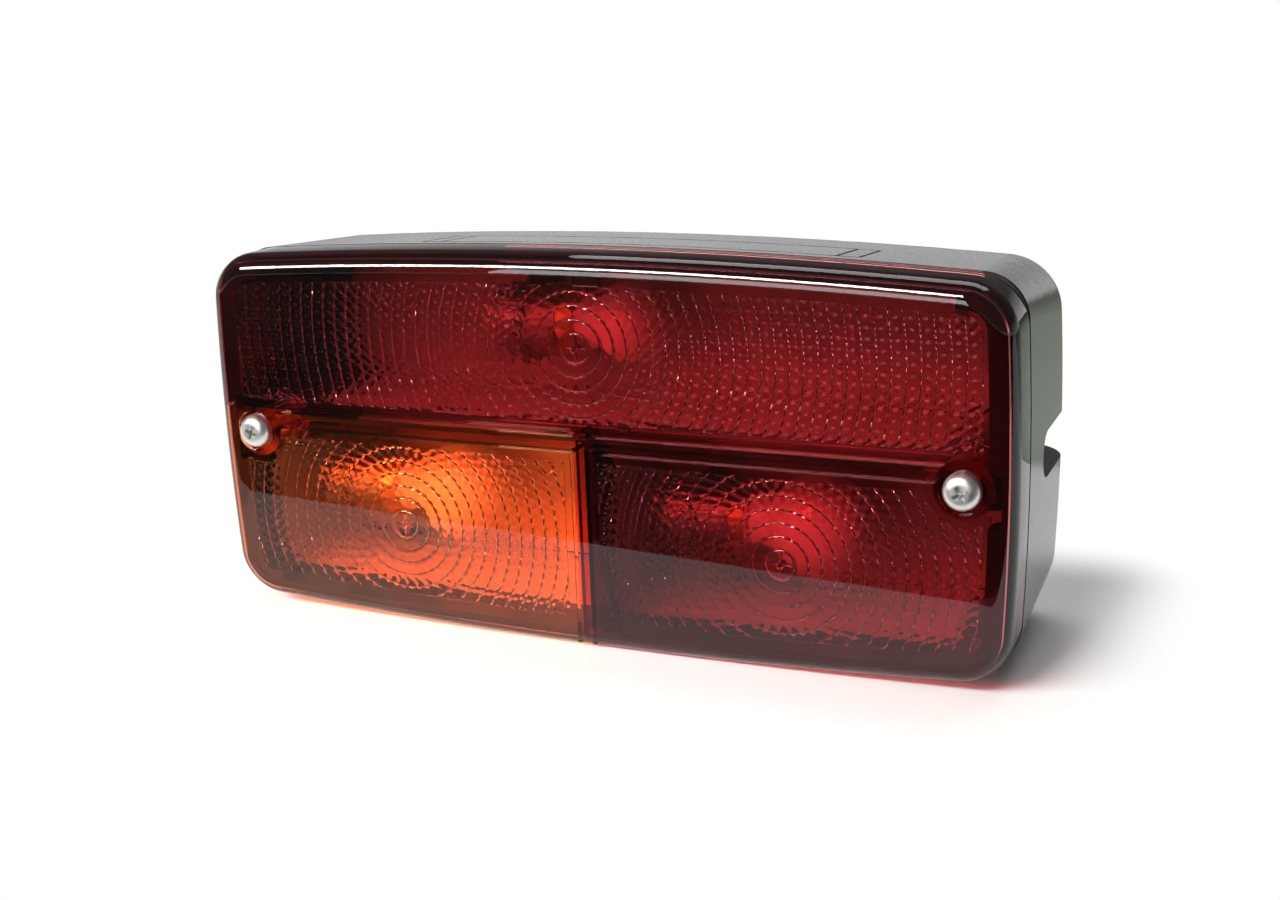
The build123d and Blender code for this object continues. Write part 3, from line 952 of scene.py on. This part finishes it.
@dataclass
class TwoColourLens:
    """The lens: a hollow cover with screw pillars, light ribs and ring optics, parted into red and amber."""

    outline: LampOutline
    front: float
    seat: float
    pillar_end: float
    screw_x: float
    bulbs: dict[str, Vector]
    wall: float = 2.5 * MM
    skirt: float = 2.2 * MM
    edge_round: float = 4.8 * MM
    edge_steps: int = 8
    inner_round: float = 0.6 * MM
    inner_steps: int = 2
    shoulder: float = 3.0 * MM
    pillar_radius: float = 6.4 * MM
    counterbore_radius: float = 5.1 * MM
    counterbore_depth: float = 1.0 * MM
    bore_radius: float = 2.2 * MM
    partition_z: float = 3.0 * MM
    rib_offset: float = 1.9 * MM
    rib_wall: float = 1.0 * MM
    rib_height: float = 7.0 * MM
    amber_top: float = 6.0 * MM
    amber_corner: float = 2.5 * MM
    amber_steps: int = 6
    optic_border: float = 7.0 * MM
    optic_gap: float = 3.6 * MM
    gate_radius: float = 0.9 * MM
    gate_arm: float = 2.6 * MM
    gate_rib: float = 0.35 * MM
    gate_height: float = 1.25 * MM
    gate_stub: float = 1.5
    gate_dimple: float = 0.55
    ejectors: tuple[tuple[float, float], ...] = ((-8.4 * MM, -3.3 * MM), (-6.9 * MM, -36.8 * MM))
    ejector_radius: float = 1.35 * MM
    tabs: tuple[tuple[float, ...], ...] = ((11.0 * MM, 6.2 * MM, 1.2 * MM, 0.9 * MM),
                                           (3.0 * MM, 39.6 * MM, 3.4 * MM, 1.2 * MM))
    mark_height: float = 1.4 * MM
    seam: float = 0.03 * MM
    crease: float = 20.0

    @property
    def level(self) -> float:
        """Depth of the lens's flat inner face."""
        return self.front + self.wall

    def cover(self) -> Piece:
        """Models the hollow cover with its rolled front edge.

        Returns:
            The cover, in object mode.
        """
        piece = self.outline.slab("lens_cover", 0.0, self.front, self.seat)

        def at(depth: float) -> Callable[[Any], bool]:
            """Test for edges and faces that lie wholly at one depth."""
            return lambda item: all(abs(vertex.co.y - depth) < TOUCH for vertex in item.verts)

        pick(piece, Domain.EDGE, at(self.front))
        bpy.ops.mesh.bevel(offset=self.edge_round, segments=self.edge_steps, affect="EDGES",
                           clamp_overlap=False)
        pick(piece, Domain.FACE, at(self.front))
        bpy.ops.mesh.inset(thickness=self.shoulder)
        pick(piece, Domain.FACE, at(self.seat))
        bpy.ops.mesh.inset(thickness=self.skirt)
        push((0, self.level - self.seat, 0))
        pick(piece, Domain.EDGE, at(self.level))
        bpy.ops.mesh.bevel(offset=self.inner_round, segments=self.inner_steps, affect="EDGES",
                           clamp_overlap=False)
        face_outwards(piece)
        return piece

    def block(self, low: Point, high: Point) -> Piece:
        """Starts a plain block between two corners, to be joined to or cut from the lens.

        Args:
            low: its lowest corner.
            high: its highest corner.

        Returns:
            The block.
        """
        middle = [(a + b) / 2 for a, b in zip(low, high)]
        half = [(b - a) / 2 for a, b in zip(low, high)]
        return start("block", Primitive.CUBE, tuple(middle), tuple(half))

    def add_ribs(self, piece: Piece) -> None:
        """Joins the ribs that stand either side of the housing's partitions.

        Args:
            piece: the lens.
        """
        half = self.rib_wall / 2
        near, far = self.level + self.rib_height, self.level - self.wall / 2
        low_edge = -self.outline.half_height + self.skirt / 2
        lower_rib = self.partition_z - self.rib_offset
        for z in (lower_rib, self.partition_z + self.rib_offset):
            rib = self.block((-self.screw_x, far, z - half), (self.screw_x, near, z + half))
            combine(piece, rib, Blend.UNION)
        gap = self.rib_offset - half
        slot = self.block((-gap, self.level, lower_rib - 2 * half), (gap, near + MM, lower_rib + 2 * half))
        combine(piece, slot, Blend.CUT)
        for x in (-self.rib_offset, self.rib_offset):
            rib = self.block((x - half, far, low_edge), (x + half, near, lower_rib))
            combine(piece, rib, Blend.UNION)

    def add_optics(self, piece: Piece) -> None:
        """Joins the three fields of ring optics.

        Args:
            piece: the lens.
        """
        clear = self.optic_gap / 2
        side = self.rib_offset + self.rib_wall / 2 + clear
        lower_high = self.partition_z - self.rib_offset - self.rib_wall / 2 - clear
        upper_low = self.amber_top + clear
        width, height = self.outline.half_width, self.outline.half_height
        fields = {"tail": (-width, width, upper_low, height),
                  "indicator": (-width, -side, -height, lower_high),
                  "stop": (side, width, -height, lower_high)}
        for name, (left, right, low, high) in fields.items():
            bulb = self.bulbs[name]
            reach = math.hypot(max(abs(left - bulb.x), abs(right - bulb.x)),
                               max(abs(low - bulb.z), abs(high - bulb.z)))
            disc = RingOptic(bulb.x, bulb.z, self.level, reach).disc("rings_" + name)
            deep, shallow = self.level - MM, self.level + 2 * MM
            bounds = self.outline.slab("field", self.optic_border, deep, shallow)
            combine(bounds, self.block((left, deep - MM, low), (right, shallow + MM, high)), Blend.TRIM)
            for x in (-self.screw_x, self.screw_x):
                keep = rod("keep", ((x, deep - MM, 0), (x, shallow + MM, 0)), self.pillar_radius + clear)
                combine(bounds, keep, Blend.CUT)
            combine(disc, bounds, Blend.TRIM)
            combine(piece, disc, Blend.UNION)

    def add_gates(self, piece: Piece) -> None:
        """Joins the moulding gate in the middle of each optic: a small stub on a cross of thin ribs.

        Args:
            piece: the lens.
        """
        deep = self.level - self.wall / 2
        for bulb in self.bulbs.values():
            for half_x, half_z in ((self.gate_arm, self.gate_rib / 2), (self.gate_rib / 2, self.gate_arm)):
                arm = self.block((bulb.x - half_x, deep, bulb.z - half_z),
                                 (bulb.x + half_x, self.level + self.gate_height, bulb.z + half_z))
                combine(piece, arm, Blend.UNION)
            stub_end = self.level + self.gate_stub * self.gate_height
            stub = rod("stub", ((bulb.x, deep, bulb.z), (bulb.x, stub_end, bulb.z)), self.gate_radius,
                       SMALL_SIDES)
            combine(piece, stub, Blend.UNION)
            dimple = rod("dimple", ((bulb.x, self.level, bulb.z), (bulb.x, stub_end + MM, bulb.z)),
                         self.gate_dimple * self.gate_radius, SMALL_SIDES)
            combine(piece, dimple, Blend.CUT)

    def add_marks(self, piece: Piece) -> None:
        """Joins the ejector stubs and the locating tabs of the moulding.

        Args:
            piece: the lens.
        """
        deep, end = self.level - self.wall / 2, self.level + self.mark_height
        for x, z in self.ejectors:
            stub = rod("stub", ((x, deep, z), (x, end, z)), self.ejector_radius, SMALL_SIDES)
            combine(piece, stub, Blend.UNION)
        for x, z, half_x, half_z in self.tabs:
            tab = self.block((x - half_x, deep, z - half_z), (x + half_x, end, z + half_z))
            combine(piece, tab, Blend.UNION)

    def add_pillars(self, piece: Piece) -> None:
        """Joins the screw pillars and cuts their counterbores and bores.

        Args:
            piece: the lens.
        """
        for x in (-self.screw_x, self.screw_x):
            pillar = rod("pillar", ((x, self.level - self.wall / 2, 0), (x, self.pillar_end, 0)),
                         self.pillar_radius)
            combine(piece, pillar, Blend.UNION)
        for x in (-self.screw_x, self.screw_x):
            sink = rod("sink", ((x, self.front - MM, 0), (x, self.front + self.counterbore_depth, 0)),
                       self.counterbore_radius)
            combine(piece, sink, Blend.CUT)
            bore = rod("bore", ((x, self.front - MM, 0), (x, self.pillar_end + MM, 0)), self.bore_radius)
            combine(piece, bore, Blend.CUT)

    def amber_zone(self, grow: float) -> Piece:
        """Models the space of the amber quarter.

        Args:
            grow: how far it reaches past the middle of the seam.

        Returns:
            The space, as a closed block.
        """
        zone = self.block((-self.outline.half_width - MM, self.front - MM, -self.outline.half_height - MM),
                          (grow, self.pillar_end + MM, self.amber_top + grow))
        pick(zone, Domain.EDGE, lambda edge: all(
            abs(v.co.x - grow) < EXACT and abs(v.co.z - self.amber_top - grow) < EXACT for v in edge.verts))
        bpy.ops.mesh.bevel(offset=self.amber_corner + grow, segments=self.amber_steps, affect="EDGES")
        face_outwards(zone)
        return zone

    def build(self, finishes: Finishes) -> None:
        """Models the lens whole, parts it and dresses both colours.

        Args:
            finishes: the lamp's materials.
        """
        form = self.cover()
        self.add_ribs(form)
        self.add_pillars(form)
        self.add_optics(form)
        self.add_gates(form)
        self.add_marks(form)
        amber = twin(form, "amber_lens")
        form.name = "red_lens"
        combine(form, self.amber_zone(self.seam / 2), Blend.CUT)
        combine(amber, self.amber_zone(-self.seam / 2), Blend.TRIM)
        for piece, finish, slot, node in ((form, finishes.red, "red_acrylic", "lens_red"),
                                          (amber, finishes.amber, "amber_acrylic", "lens_amber")):
            smooth(piece, self.crease)
            settle(piece, finish, slot, node)


@dataclass
class EndShadeLedges:
    """Black ledges behind the lens's border at both ends, put there as painted shade: they stand in for the
    dark reflection that darkens the border.
    """

    outline: LampOutline
    front: float
    back: float
    outer_inset: float = 3.9 * MM
    inner_inset: float = 6.2 * MM
    end_x: float = 84.0 * MM
    pillar_half: float = 8.2 * MM
    crease: float = 30.0

    def build(self, finishes: Finishes) -> None:
        """Models the ledges as the ends of a ring that follows the outline.

        Args:
            finishes: the lamp's materials.
        """
        piece = self.outline.slab("end_shade_ledges", self.outer_inset, self.front, self.back)
        deep, shallow = self.front - MM, self.back + MM
        combine(piece, self.outline.slab("core", self.inner_inset, deep, shallow), Blend.CUT)
        middle_y, half_y = (deep + shallow) / 2, (shallow - deep) / 2
        span, rise = self.outline.half_width, self.outline.half_height
        for half_x, half_z in ((self.end_x, rise), (span, self.pillar_half)):
            gap = start("gap", Primitive.CUBE, (0, middle_y, 0), (half_x, half_y, half_z))
            combine(piece, gap, Blend.CUT)
        smooth(piece, self.crease)
        settle(piece, finishes.housing, "black_plastic")


# Fasteners and bulbs


@dataclass
class LensScrews:
    """The two pan-head screws of the lens, with a cross recess and a rolled thread."""

    screw_x: float
    head_front: float
    tip: float
    head_radius: float
    head_height: float = 2.9 * MM
    head_round: float = 2.2 * MM
    head_steps: int = 7
    shank_radius: float = 2.0 * MM
    core_radius: float = 1.6 * MM
    pitch: float = 1.4 * MM
    point: float = 2.5 * MM
    recess_half: Point = (2.25 * MM, 1.0 * MM, 0.5 * MM)
    recess_taper: float = 0.5
    angles: tuple[float, float] = (0.35, 1.05)
    crease: float = 28.0

    def blade(self, angle: float) -> Piece:
        """Models one tapered blade of the driver that forms the cross.

        Args:
            angle: its turn about the screw's axis, in radians.

        Returns:
            The blade, in object mode.
        """
        half_x, half_y, half_z = self.recess_half
        piece = start("blade", Primitive.CUBE, (0, self.head_front, 0), (half_x, 2 * half_y, half_z))
        pick(piece, Domain.VERTEX, lambda vertex: vertex.co.y > self.head_front)
        bpy.ops.transform.resize(value=(self.recess_taper, 1, self.recess_taper),
                                 center_override=(0, self.head_front, 0))
        bpy.ops.object.mode_set(mode="OBJECT")
        piece.data.transform(Matrix.Rotation(angle, 4, "Y"))
        return piece

    def screw(self) -> Piece:
        """Models one screw on the Y axis.

        Returns:
            The screw, in object mode.
        """
        seat = self.head_front + self.head_height
        piece = rod("lens_screw", ((0, self.head_front, 0), (0, seat, 0)), self.head_radius)
        pick(piece, Domain.EDGE, lambda edge: all(v.co.y < seat - MM for v in edge.verts))
        bpy.ops.mesh.bevel(offset=self.head_round, segments=self.head_steps, affect="EDGES",
                           clamp_overlap=False)
        shank = [(seat, self.head_radius), (seat, self.shank_radius), (seat + MM, self.shank_radius)]
        shank += thread(seat + MM, self.tip - self.point, self.pitch, self.shank_radius, self.core_radius)
        turn(piece, 1, (0, 0, 0), shank + [(self.tip, self.shank_radius / 2)])
        face_outwards(piece)
        cross = self.blade(0.0)
        combine(cross, self.blade(QUARTER_TURN), Blend.UNION)
        combine(piece, cross, Blend.CUT)
        return piece

    def build(self, finishes: Finishes) -> None:
        """Models one screw, sets the pair in place at their own angles and dresses them.

        Args:
            finishes: the lamp's materials.
        """
        model = self.screw()
        pair = []
        for side, angle in zip((-1, 1), self.angles):
            copy = twin(model, f"lens_screw_{side}")
            place = Matrix.Translation((side * self.screw_x, 0, 0))
            copy.data.transform(place @ Matrix.Rotation(angle, 4, "Y"))
            pair.append(copy)
        bpy.data.objects.remove(model, do_unlink=True)
        piece = join(pair, "lens_screw_pair")
        smooth(piece, self.crease)
        settle(piece, finishes.zinc, "zinc_steel", "lens_screws")


@dataclass
class MountingStuds:
    """The two studs moulded into the rear wall, with their thread."""

    stud_x: float
    head_front: float
    end: float
    radius: float = 3.0 * MM
    neck_radius: float = 3.6 * MM
    wall: float = 2.6 * MM
    head_flats: float = 10.0 * MM
    pitch: float = 1.0 * MM
    depth: float = 0.5 * MM
    chamfer: float = 0.8 * MM
    head_sides: int = 6
    head_overlap: float = 0.05 * MM
    crease: float = 28.0

    def stud(self) -> Piece:
        """Models one stud on the Y axis: hexagon head, neck in the wall, threaded shank.

        Returns:
            The stud, in object mode.
        """
        piece = rod("stud", ((0, -self.wall, 0), (0, 0, 0)), self.neck_radius)
        root = self.radius - self.depth
        shank = [(0.0, self.neck_radius), (0.0, self.radius), (MM, self.radius)]
        shank += thread(MM, self.end - self.chamfer, self.pitch, self.radius, root)
        shank += [(self.end - self.chamfer, self.radius), (self.end, root - self.depth / 2)]
        turn(piece, 1, (0, 0, 0), shank)
        face_outwards(piece)
        across = self.head_flats / math.sqrt(3)
        head = rod("stud_head", ((0, self.head_front, 0), (0, -self.wall + self.head_overlap, 0)), across,
                   self.head_sides)
        pick(head, Domain.EDGE, lambda edge: all(v.co.y < self.head_front + CLOSE for v in edge.verts))
        bpy.ops.mesh.bevel(offset=self.chamfer / 2, segments=2, affect="EDGES")
        face_outwards(head)
        combine(piece, head, Blend.UNION)
        return piece

    def build(self, finishes: Finishes) -> None:
        """Models one stud, copies it to both places and dresses them.

        Args:
            finishes: the lamp's materials.
        """
        model = self.stud()
        pair = [twin(model, f"stud_{side}", (side * self.stud_x, 0, 0)) for side in (-1, 1)]
        bpy.data.objects.remove(model, do_unlink=True)
        piece = join(pair, "mounting_stud_pair")
        smooth(piece, self.crease)
        settle(piece, finishes.zinc, "zinc_steel", "mounting_studs")


@dataclass
class Bulb:
    """A bayonet bulb that lies along X: hollow glass, brass cap with two pins, filament on its leads."""

    name: str
    base: Vector
    globe_x: float
    globe_radius: float
    cap_length: float = 16.0 * MM
    cap_radius: float = 7.5 * MM
    neck_radius: float = 6.6 * MM
    contact_radius: float = 3.0 * MM
    contact_length: float = 1.0 * MM
    pin_from_base: float = 7.0 * MM
    pin_radius: float = 1.0 * MM
    pin_reach: float = 8.4 * MM
    glass_wall: float = 0.6 * MM
    lead_spread: float = 2.6 * MM
    lead_radius: float = 0.3 * MM
    coil_radius: float = 0.55 * MM
    coil_turns: int = 9
    globe_sides: int = 40
    globe_cut: float = 0.4 * MM
    neck_play: float = 0.1 * MM
    neck_share: float = 0.3
    cap_rim: float = 0.5 * MM
    contact_steps: tuple[tuple[float, float], ...] = ((0.0, 1.5), (0.4, 1.3), (0.4, 0.9), (1.0, 0.6))
    pin_sides: int = 20
    lead_sides: int = 10
    coil_sides: int = 14
    crease: float = 35.0

    def glass(self) -> Piece:
        """Models the hollow globe and its neck.

        Returns:
            The glass, in object mode.
        """
        _, y, z = self.base
        piece = start(self.name + "_bulb_glass", Primitive.BALL, (self.globe_x, y, z),
                      (self.globe_radius,) * 3, (0, QUARTER_TURN, 0), self.globe_sides)
        neck_x = self.globe_x - math.sqrt(self.globe_radius**2 - self.neck_radius**2)
        pick(piece, Domain.FACE, lambda face: face.calc_center_median().x < neck_x + self.globe_cut)
        bpy.ops.mesh.delete(type="FACE")
        pick(piece, Domain.EDGE, lambda edge: edge.is_boundary)
        rim_x = self.base.x + self.cap_length - MM
        form = bmesh.from_edit_mesh(piece.data)
        edge_x = min(vertex.co.x for vertex in form.verts)
        rim = [vertex for edge in form.edges if edge.is_boundary for vertex in edge.verts]
        rim_radius = max(math.hypot(vertex.co.y - y, vertex.co.z - z) for vertex in rim)
        narrow = (self.neck_radius - self.neck_play) / rim_radius
        for place in (edge_x - self.neck_share * (edge_x - rim_x), rim_x):
            bpy.ops.mesh.extrude_edges_move(TRANSFORM_OT_translate={"value": (place - edge_x, 0, 0)})
            bpy.ops.transform.resize(value=(1, narrow, narrow), center_override=(0, y, z))
            edge_x, narrow = place, 1.0
        face_outwards(piece)
        make_active(piece)
        shell = piece.modifiers.new("wall", "SOLIDIFY")
        shell.thickness = self.glass_wall
        shell.offset = -1
        bpy.ops.object.modifier_apply(modifier=shell.name)
        return piece

    def cap(self) -> Piece:
        """Models the cap with its rolled rim, pins and end contact.

        Returns:
            The cap, in object mode.
        """
        x, y, z = self.base
        low, high = x + self.contact_length, x + self.cap_length
        piece = rod(self.name + "_bulb_cap", ((low, y, z), (high, y, z)), self.cap_radius)
        pick(piece, Domain.EDGE, lambda edge: all(v.co.x > high - CLOSE for v in edge.verts))
        bpy.ops.mesh.bevel(offset=self.cap_rim, segments=3, affect="EDGES")
        bpy.ops.object.mode_set(mode="OBJECT")
        contact = [(low - along * self.contact_length, wide * self.contact_radius)
                   for along, wide in self.contact_steps]
        turn(piece, 0, (x, y, z), [(low, self.cap_radius)] + contact)
        face_outwards(piece)
        pin_x = x + self.pin_from_base
        pins = rod("pins", ((pin_x, y, z - self.pin_reach), (pin_x, y, z + self.pin_reach)), self.pin_radius,
                   self.pin_sides)
        combine(piece, pins, Blend.UNION)
        return piece

    def filament(self) -> Piece:
        """Models the two leads and the coil between them.

        Returns:
            The filament, in object mode.
        """
        x, y, z = self.base
        low, top = x + self.cap_length, self.globe_x
        leads = [rod("lead", ((low, y, lead_z), (top, y, lead_z)), self.lead_radius, self.lead_sides)
                 for lead_z in (z - self.lead_spread, z + self.lead_spread)]
        step = 2 * self.lead_spread / self.coil_turns
        first = start("coil", Primitive.RING, (top, y, z - self.lead_spread + step / 2),
                      (self.coil_radius,) * 3, sides=self.coil_sides)
        coil = [first]
        coil += [twin(first, "coil", (0, 0, number * step)) for number in range(1, self.coil_turns)]
        return join(leads + coil, self.name + "_bulb_filament")

    def build(self, finishes: Finishes) -> None:
        """Models and dresses the bulb's three pieces.

        Args:
            finishes: the lamp's materials.
        """
        glass, cap, filament = self.glass(), self.cap(), self.filament()
        for piece in (glass, cap, filament):
            smooth(piece, self.crease)
        settle(glass, finishes.glass, "bulb_glass", "bulb_" + self.name)
        settle(cap, finishes.brass, "bulb_glass")
        settle(filament, finishes.tungsten, "bulb_glass")


# Camera, stage and lamps


@dataclass(frozen=True)
class PhotoCamera:
    """The camera at the photograph's viewing angle, solved from the lamp's edges."""

    position: Point = (161.9 * MM, -381.4 * MM, 101.6 * MM)
    right: Point = (0.9138, 0.4044, -0.0371)
    up: Point = (-0.0759, 0.2600, 0.9626)
    focal_length: float = 47.34
    sensor_width: float = 36.0
    near: float = 10 * MM

    def build(self) -> None:
        """Adds the camera and makes it the scene's own."""
        data = bpy.data.cameras.new("camera")
        data.sensor_fit = "HORIZONTAL"
        data.sensor_width = self.sensor_width
        data.lens = self.focal_length
        data.clip_start = self.near
        camera = bpy.data.objects.new("camera", data)
        bpy.context.scene.collection.objects.link(camera)
        right = Vector(self.right).normalized()
        back = right.cross(Vector(self.up)).normalized()
        up = back.cross(right)
        turn = Matrix((right, up, back)).transposed().to_4x4()
        camera.matrix_world = Matrix.Translation(self.position) @ turn
        bpy.context.scene.camera = camera


@dataclass(frozen=True)
class SoftBox:
    """A square studio lamp aimed at a point."""

    name: str
    place: Point
    aim: Point
    size: tuple[float, float]
    power: float
    colour: Colour = (1, 1, 1)
    roll: float = 0.0

    def build(self) -> None:
        """Adds the lamp."""
        data = bpy.data.lights.new(self.name, "AREA")
        data.shape = "RECTANGLE"
        data.size, data.size_y = self.size
        data.energy = self.power
        data.color = self.colour
        lamp = bpy.data.objects.new(self.name, data)
        bpy.context.scene.collection.objects.link(lamp)
        lamp.location = self.place
        aim = Vector(self.aim) - Vector(self.place)
        turn = aim.to_track_quat("-Z", "Y").to_matrix() @ Matrix.Rotation(self.roll, 3, "Z")
        lamp.rotation_euler = turn.to_euler()


@dataclass(frozen=True)
class Studio:
    """A pale floor in a white surround, with flags that the gloss sees, and soft lamps."""

    low: Vector
    high: Vector
    floor_half: float = 6.0
    floor_tone: Colour = (0.86, 0.86, 0.86)
    shadow_reach: float = 30 * MM
    flag_gap: float = 62 * MM
    flag_turn: float = 0.11
    flag_lift: float = 0.5 * MM
    flag_half: float = 1.2
    flag_waves: float = 20.0
    rear_gap: float = 85 * MM
    dark: tuple[Colour, Colour] = ((0.02, 0.02, 0.02), (0.03, 0.03, 0.03))
    dim: tuple[Colour, Colour] = ((0.48, 0.54, 0.47), (0.54, 0.60, 0.52))
    behind: tuple[float, float] = (-0.25, 0.35)
    under: tuple[float, float] = (0.24, 0.0)
    room: float = 0.12
    backdrop: float = 1.0
    lamps: tuple[SoftBox, ...] = (
        SoftBox("top_box", (0.0, 0.25, 0.9), (0, -0.03, 0), (0.9, 0.4), 4.0),
        SoftBox("key_box", (-0.44, -0.82, 0.56), (0, -0.05, 0), (0.85, 0.17), 20.0, (1.0, 0.98, 0.94), 0.33),
        SoftBox("front_box", (-0.30, -1.05, 0.22), (0, -0.05, 0), (0.5, 0.3), 3.0))

    def from_lamp(self, sheet: NodeSheet) -> Socket:
        """Distance of a floor point from the foot of the lamp.

        Args:
            sheet: the floor's node sheet.

        Returns:
            The distance's socket.
        """
        steps = (("SUBTRACT", (self.low + self.high) / 2), ("ABSOLUTE", None),
                 ("SUBTRACT", (self.high - self.low) / 2), ("MAXIMUM", Vector((0, 0, 0))), ("LENGTH", None))
        away = sheet.place
        for operation, other in steps:
            step = sheet.node("ShaderNodeVectorMath")
            step.operation = operation
            if other is not None:
                step.inputs[1].default_value = other
            sheet.link(away, step.inputs[0])
            away = step.outputs["Value" if operation == "LENGTH" else "Vector"]
        return away

    def floor(self) -> None:
        """Adds the floor, white to the eye and in reflections, with the lamp's shadow on it."""
        piece = start("floor", Primitive.PLANE, (0, 0, self.low.z), (self.floor_half, self.floor_half, 1))
        sheet = NodeSheet.of_material("pale_floor")
        paint = sheet.node("ShaderNodeBsdfDiffuse", Color=(*self.floor_tone, 1))
        glow = sheet.node("ShaderNodeEmission", Color=(1, 1, 1, 1), Strength=1.0)
        rays = sheet.node("ShaderNodeLightPath").outputs
        seen = sheet.math("MAXIMUM", rays["Is Camera Ray"], rays["Is Glossy Ray"])
        seen = sheet.math("MAXIMUM", seen, rays["Is Transmission Ray"])
        whiter = sheet.node("ShaderNodeMapRange", From_Max=self.shadow_reach)
        whiter.interpolation_type = "SMOOTHSTEP"
        sheet.link(self.from_lamp(sheet), whiter.inputs["Value"])
        white = sheet.product(seen, whiter.outputs["Result"])
        piece.data.materials.append(sheet.close(sheet.choose(white, paint, glow)))
        piece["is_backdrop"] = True

    def flag(self, name: str, middle_x: float, middle_y: float, tones: tuple[Colour, Colour]) -> None:
        """Adds a sheet on the floor that only the lamp's gloss sees, out of the camera's sight.

        Args:
            name: name of the sheet.
            middle_x: middle of the sheet along X.
            middle_y: middle of the sheet along Y.
            tones: its darkest and lightest colour.
        """
        piece = start(name, Primitive.PLANE, (middle_x, middle_y, self.low.z + self.flag_lift),
                      (self.flag_half, self.flag_half, 1), (0, 0, self.flag_turn))
        sheet = NodeSheet.of_material(name + "_cloth")
        cloth = sheet.node("ShaderNodeBsdfDiffuse")
        sheet.link(sheet.tones(sheet.noise(self.flag_waves), *tones), cloth.inputs["Color"])
        piece.data.materials.append(sheet.close(cloth))
        piece.visible_camera = False
        piece.visible_shadow = False
        piece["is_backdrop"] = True

    def surround(self) -> None:
        """Sets the world: white to the camera and low down behind the lamp, a dim room elsewhere."""
        bpy.context.scene.world = bpy.data.worlds.new("surround")
        sheet = NodeSheet(bpy.context.scene.world, "World", "Generated")
        _, y, z = sheet.axes()
        wall = sheet.product(sheet.spread(y, 0.0, 1.0, self.behind), sheet.spread(z, 0.0, 1.0, self.under))
        strength = sheet.spread(wall, self.room, self.backdrop, (0.0, 1.0))
        rays = sheet.node("ShaderNodeLightPath")
        light = sheet.node("ShaderNodeBackground", Color=(1, 1, 1, 1))
        sheet.link(sheet.math("MAXIMUM", rays.outputs["Is Camera Ray"], strength), light.inputs["Strength"])
        sheet.close(light)

    def build(self) -> None:
        """Sets the stage, the world and the lamps."""
        bpy.context.scene.view_settings.view_transform = "Standard"
        self.floor()
        reach_x = self.flag_half * math.sin(self.flag_turn)
        reach_y = self.flag_half * math.cos(self.flag_turn)
        self.flag("dark_flag", reach_x, self.low.y - self.flag_gap - reach_y, self.dark)
        self.flag("rear_flag", -reach_x, self.high.y + self.rear_gap + reach_y, self.dim)
        self.surround()
        for lamp in self.lamps:
            lamp.build()


def dress_solids(nodes: dict[str, Piece], finishes: Finishes) -> None:
    """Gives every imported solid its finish.

    Args:
        nodes: the solids by name.
        finishes: the lamp's materials.
    """
    # The indicator's reflector takes the lighter plate, painted light; the tail and stop reflectors take the
    # darker one, painted shade.
    by_start = {"housing": finishes.housing, "lens_red": finishes.red, "lens_amber": finishes.amber,
                "lens_gasket": finishes.rubber, "cable_grommet": finishes.rubber,
                "reflector_indicator": finishes.bright_plate, "reflector": finishes.plate,
                "insulator": finishes.laminate, "contact": finishes.brass, "bulb": finishes.glass,
                "holder": finishes.dull_zinc}
    for name, node in nodes.items():
        finish = next((made for key, made in by_start.items() if name.startswith(key)), finishes.zinc)
        node.data.materials.clear()
        node.data.materials.append(finish)
        LOG.info("%s dressed in %s", name, finish.name)


def middle(node: str) -> Vector:
    """Middle of a solid's box."""
    low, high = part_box(node)
    return (Vector(low) + Vector(high)) / 2


def main() -> None:
    """Builds the lamp on its solids, then the camera and the studio."""
    logging.basicConfig(level=logging.INFO, format="%(name)s: %(message)s")
    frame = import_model()
    solid_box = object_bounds()
    red_low, red_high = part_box("lens_red")
    gasket_low, gasket_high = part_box("lens_gasket")
    finishes = Finishes(red_high[0], red_high[2], -gasket_high[1])
    dress_solids(frame["nodes"], finishes)
    outline = LampOutline(red_high[0], red_high[2])
    screw_low, screw_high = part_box("lens_screws")
    head_radius = (screw_high[2] - screw_low[2]) / 2
    bulbs = {}
    for name, radius in GLOBE_RADIUS.items():
        centre = middle("bulb_" + name)
        bulbs[name] = Vector((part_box("bulb_" + name)[1][0] - radius, centre.y, centre.z))
    lens = TwoColourLens(outline, red_low[1], gasket_low[1], red_high[1], screw_high[0] - head_radius, bulbs)
    lens.build(finishes)
    lip_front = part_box("housing")[0][1]
    # Painted shade: black ledges that darken the ends of the lens's border.
    EndShadeLedges(outline, lip_front, gasket_low[1]).build(finishes)
    LensScrews(lens.screw_x, screw_low[1], screw_high[1], head_radius).build(finishes)
    stud_low, stud_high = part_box("mounting_studs")
    record_studs = next(mount for mount in frame["record"]["mounts"] if mount["name"] == "rear_studs")
    stud_x = record_studs["dims"]["spacing_x_mm"] / 2 * MM
    MountingStuds(stud_x, stud_low[1], stud_high[1]).build(finishes)
    for name, radius in GLOBE_RADIUS.items():
        base = Vector((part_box("bulb_" + name)[0][0], bulbs[name].y, bulbs[name].z))
        Bulb(name, base, bulbs[name].x, radius).build(finishes)
    PhotoCamera().build()
    Studio(Vector(solid_box[0]), Vector(solid_box[1])).build()


if __name__ == "__main__":
    main()
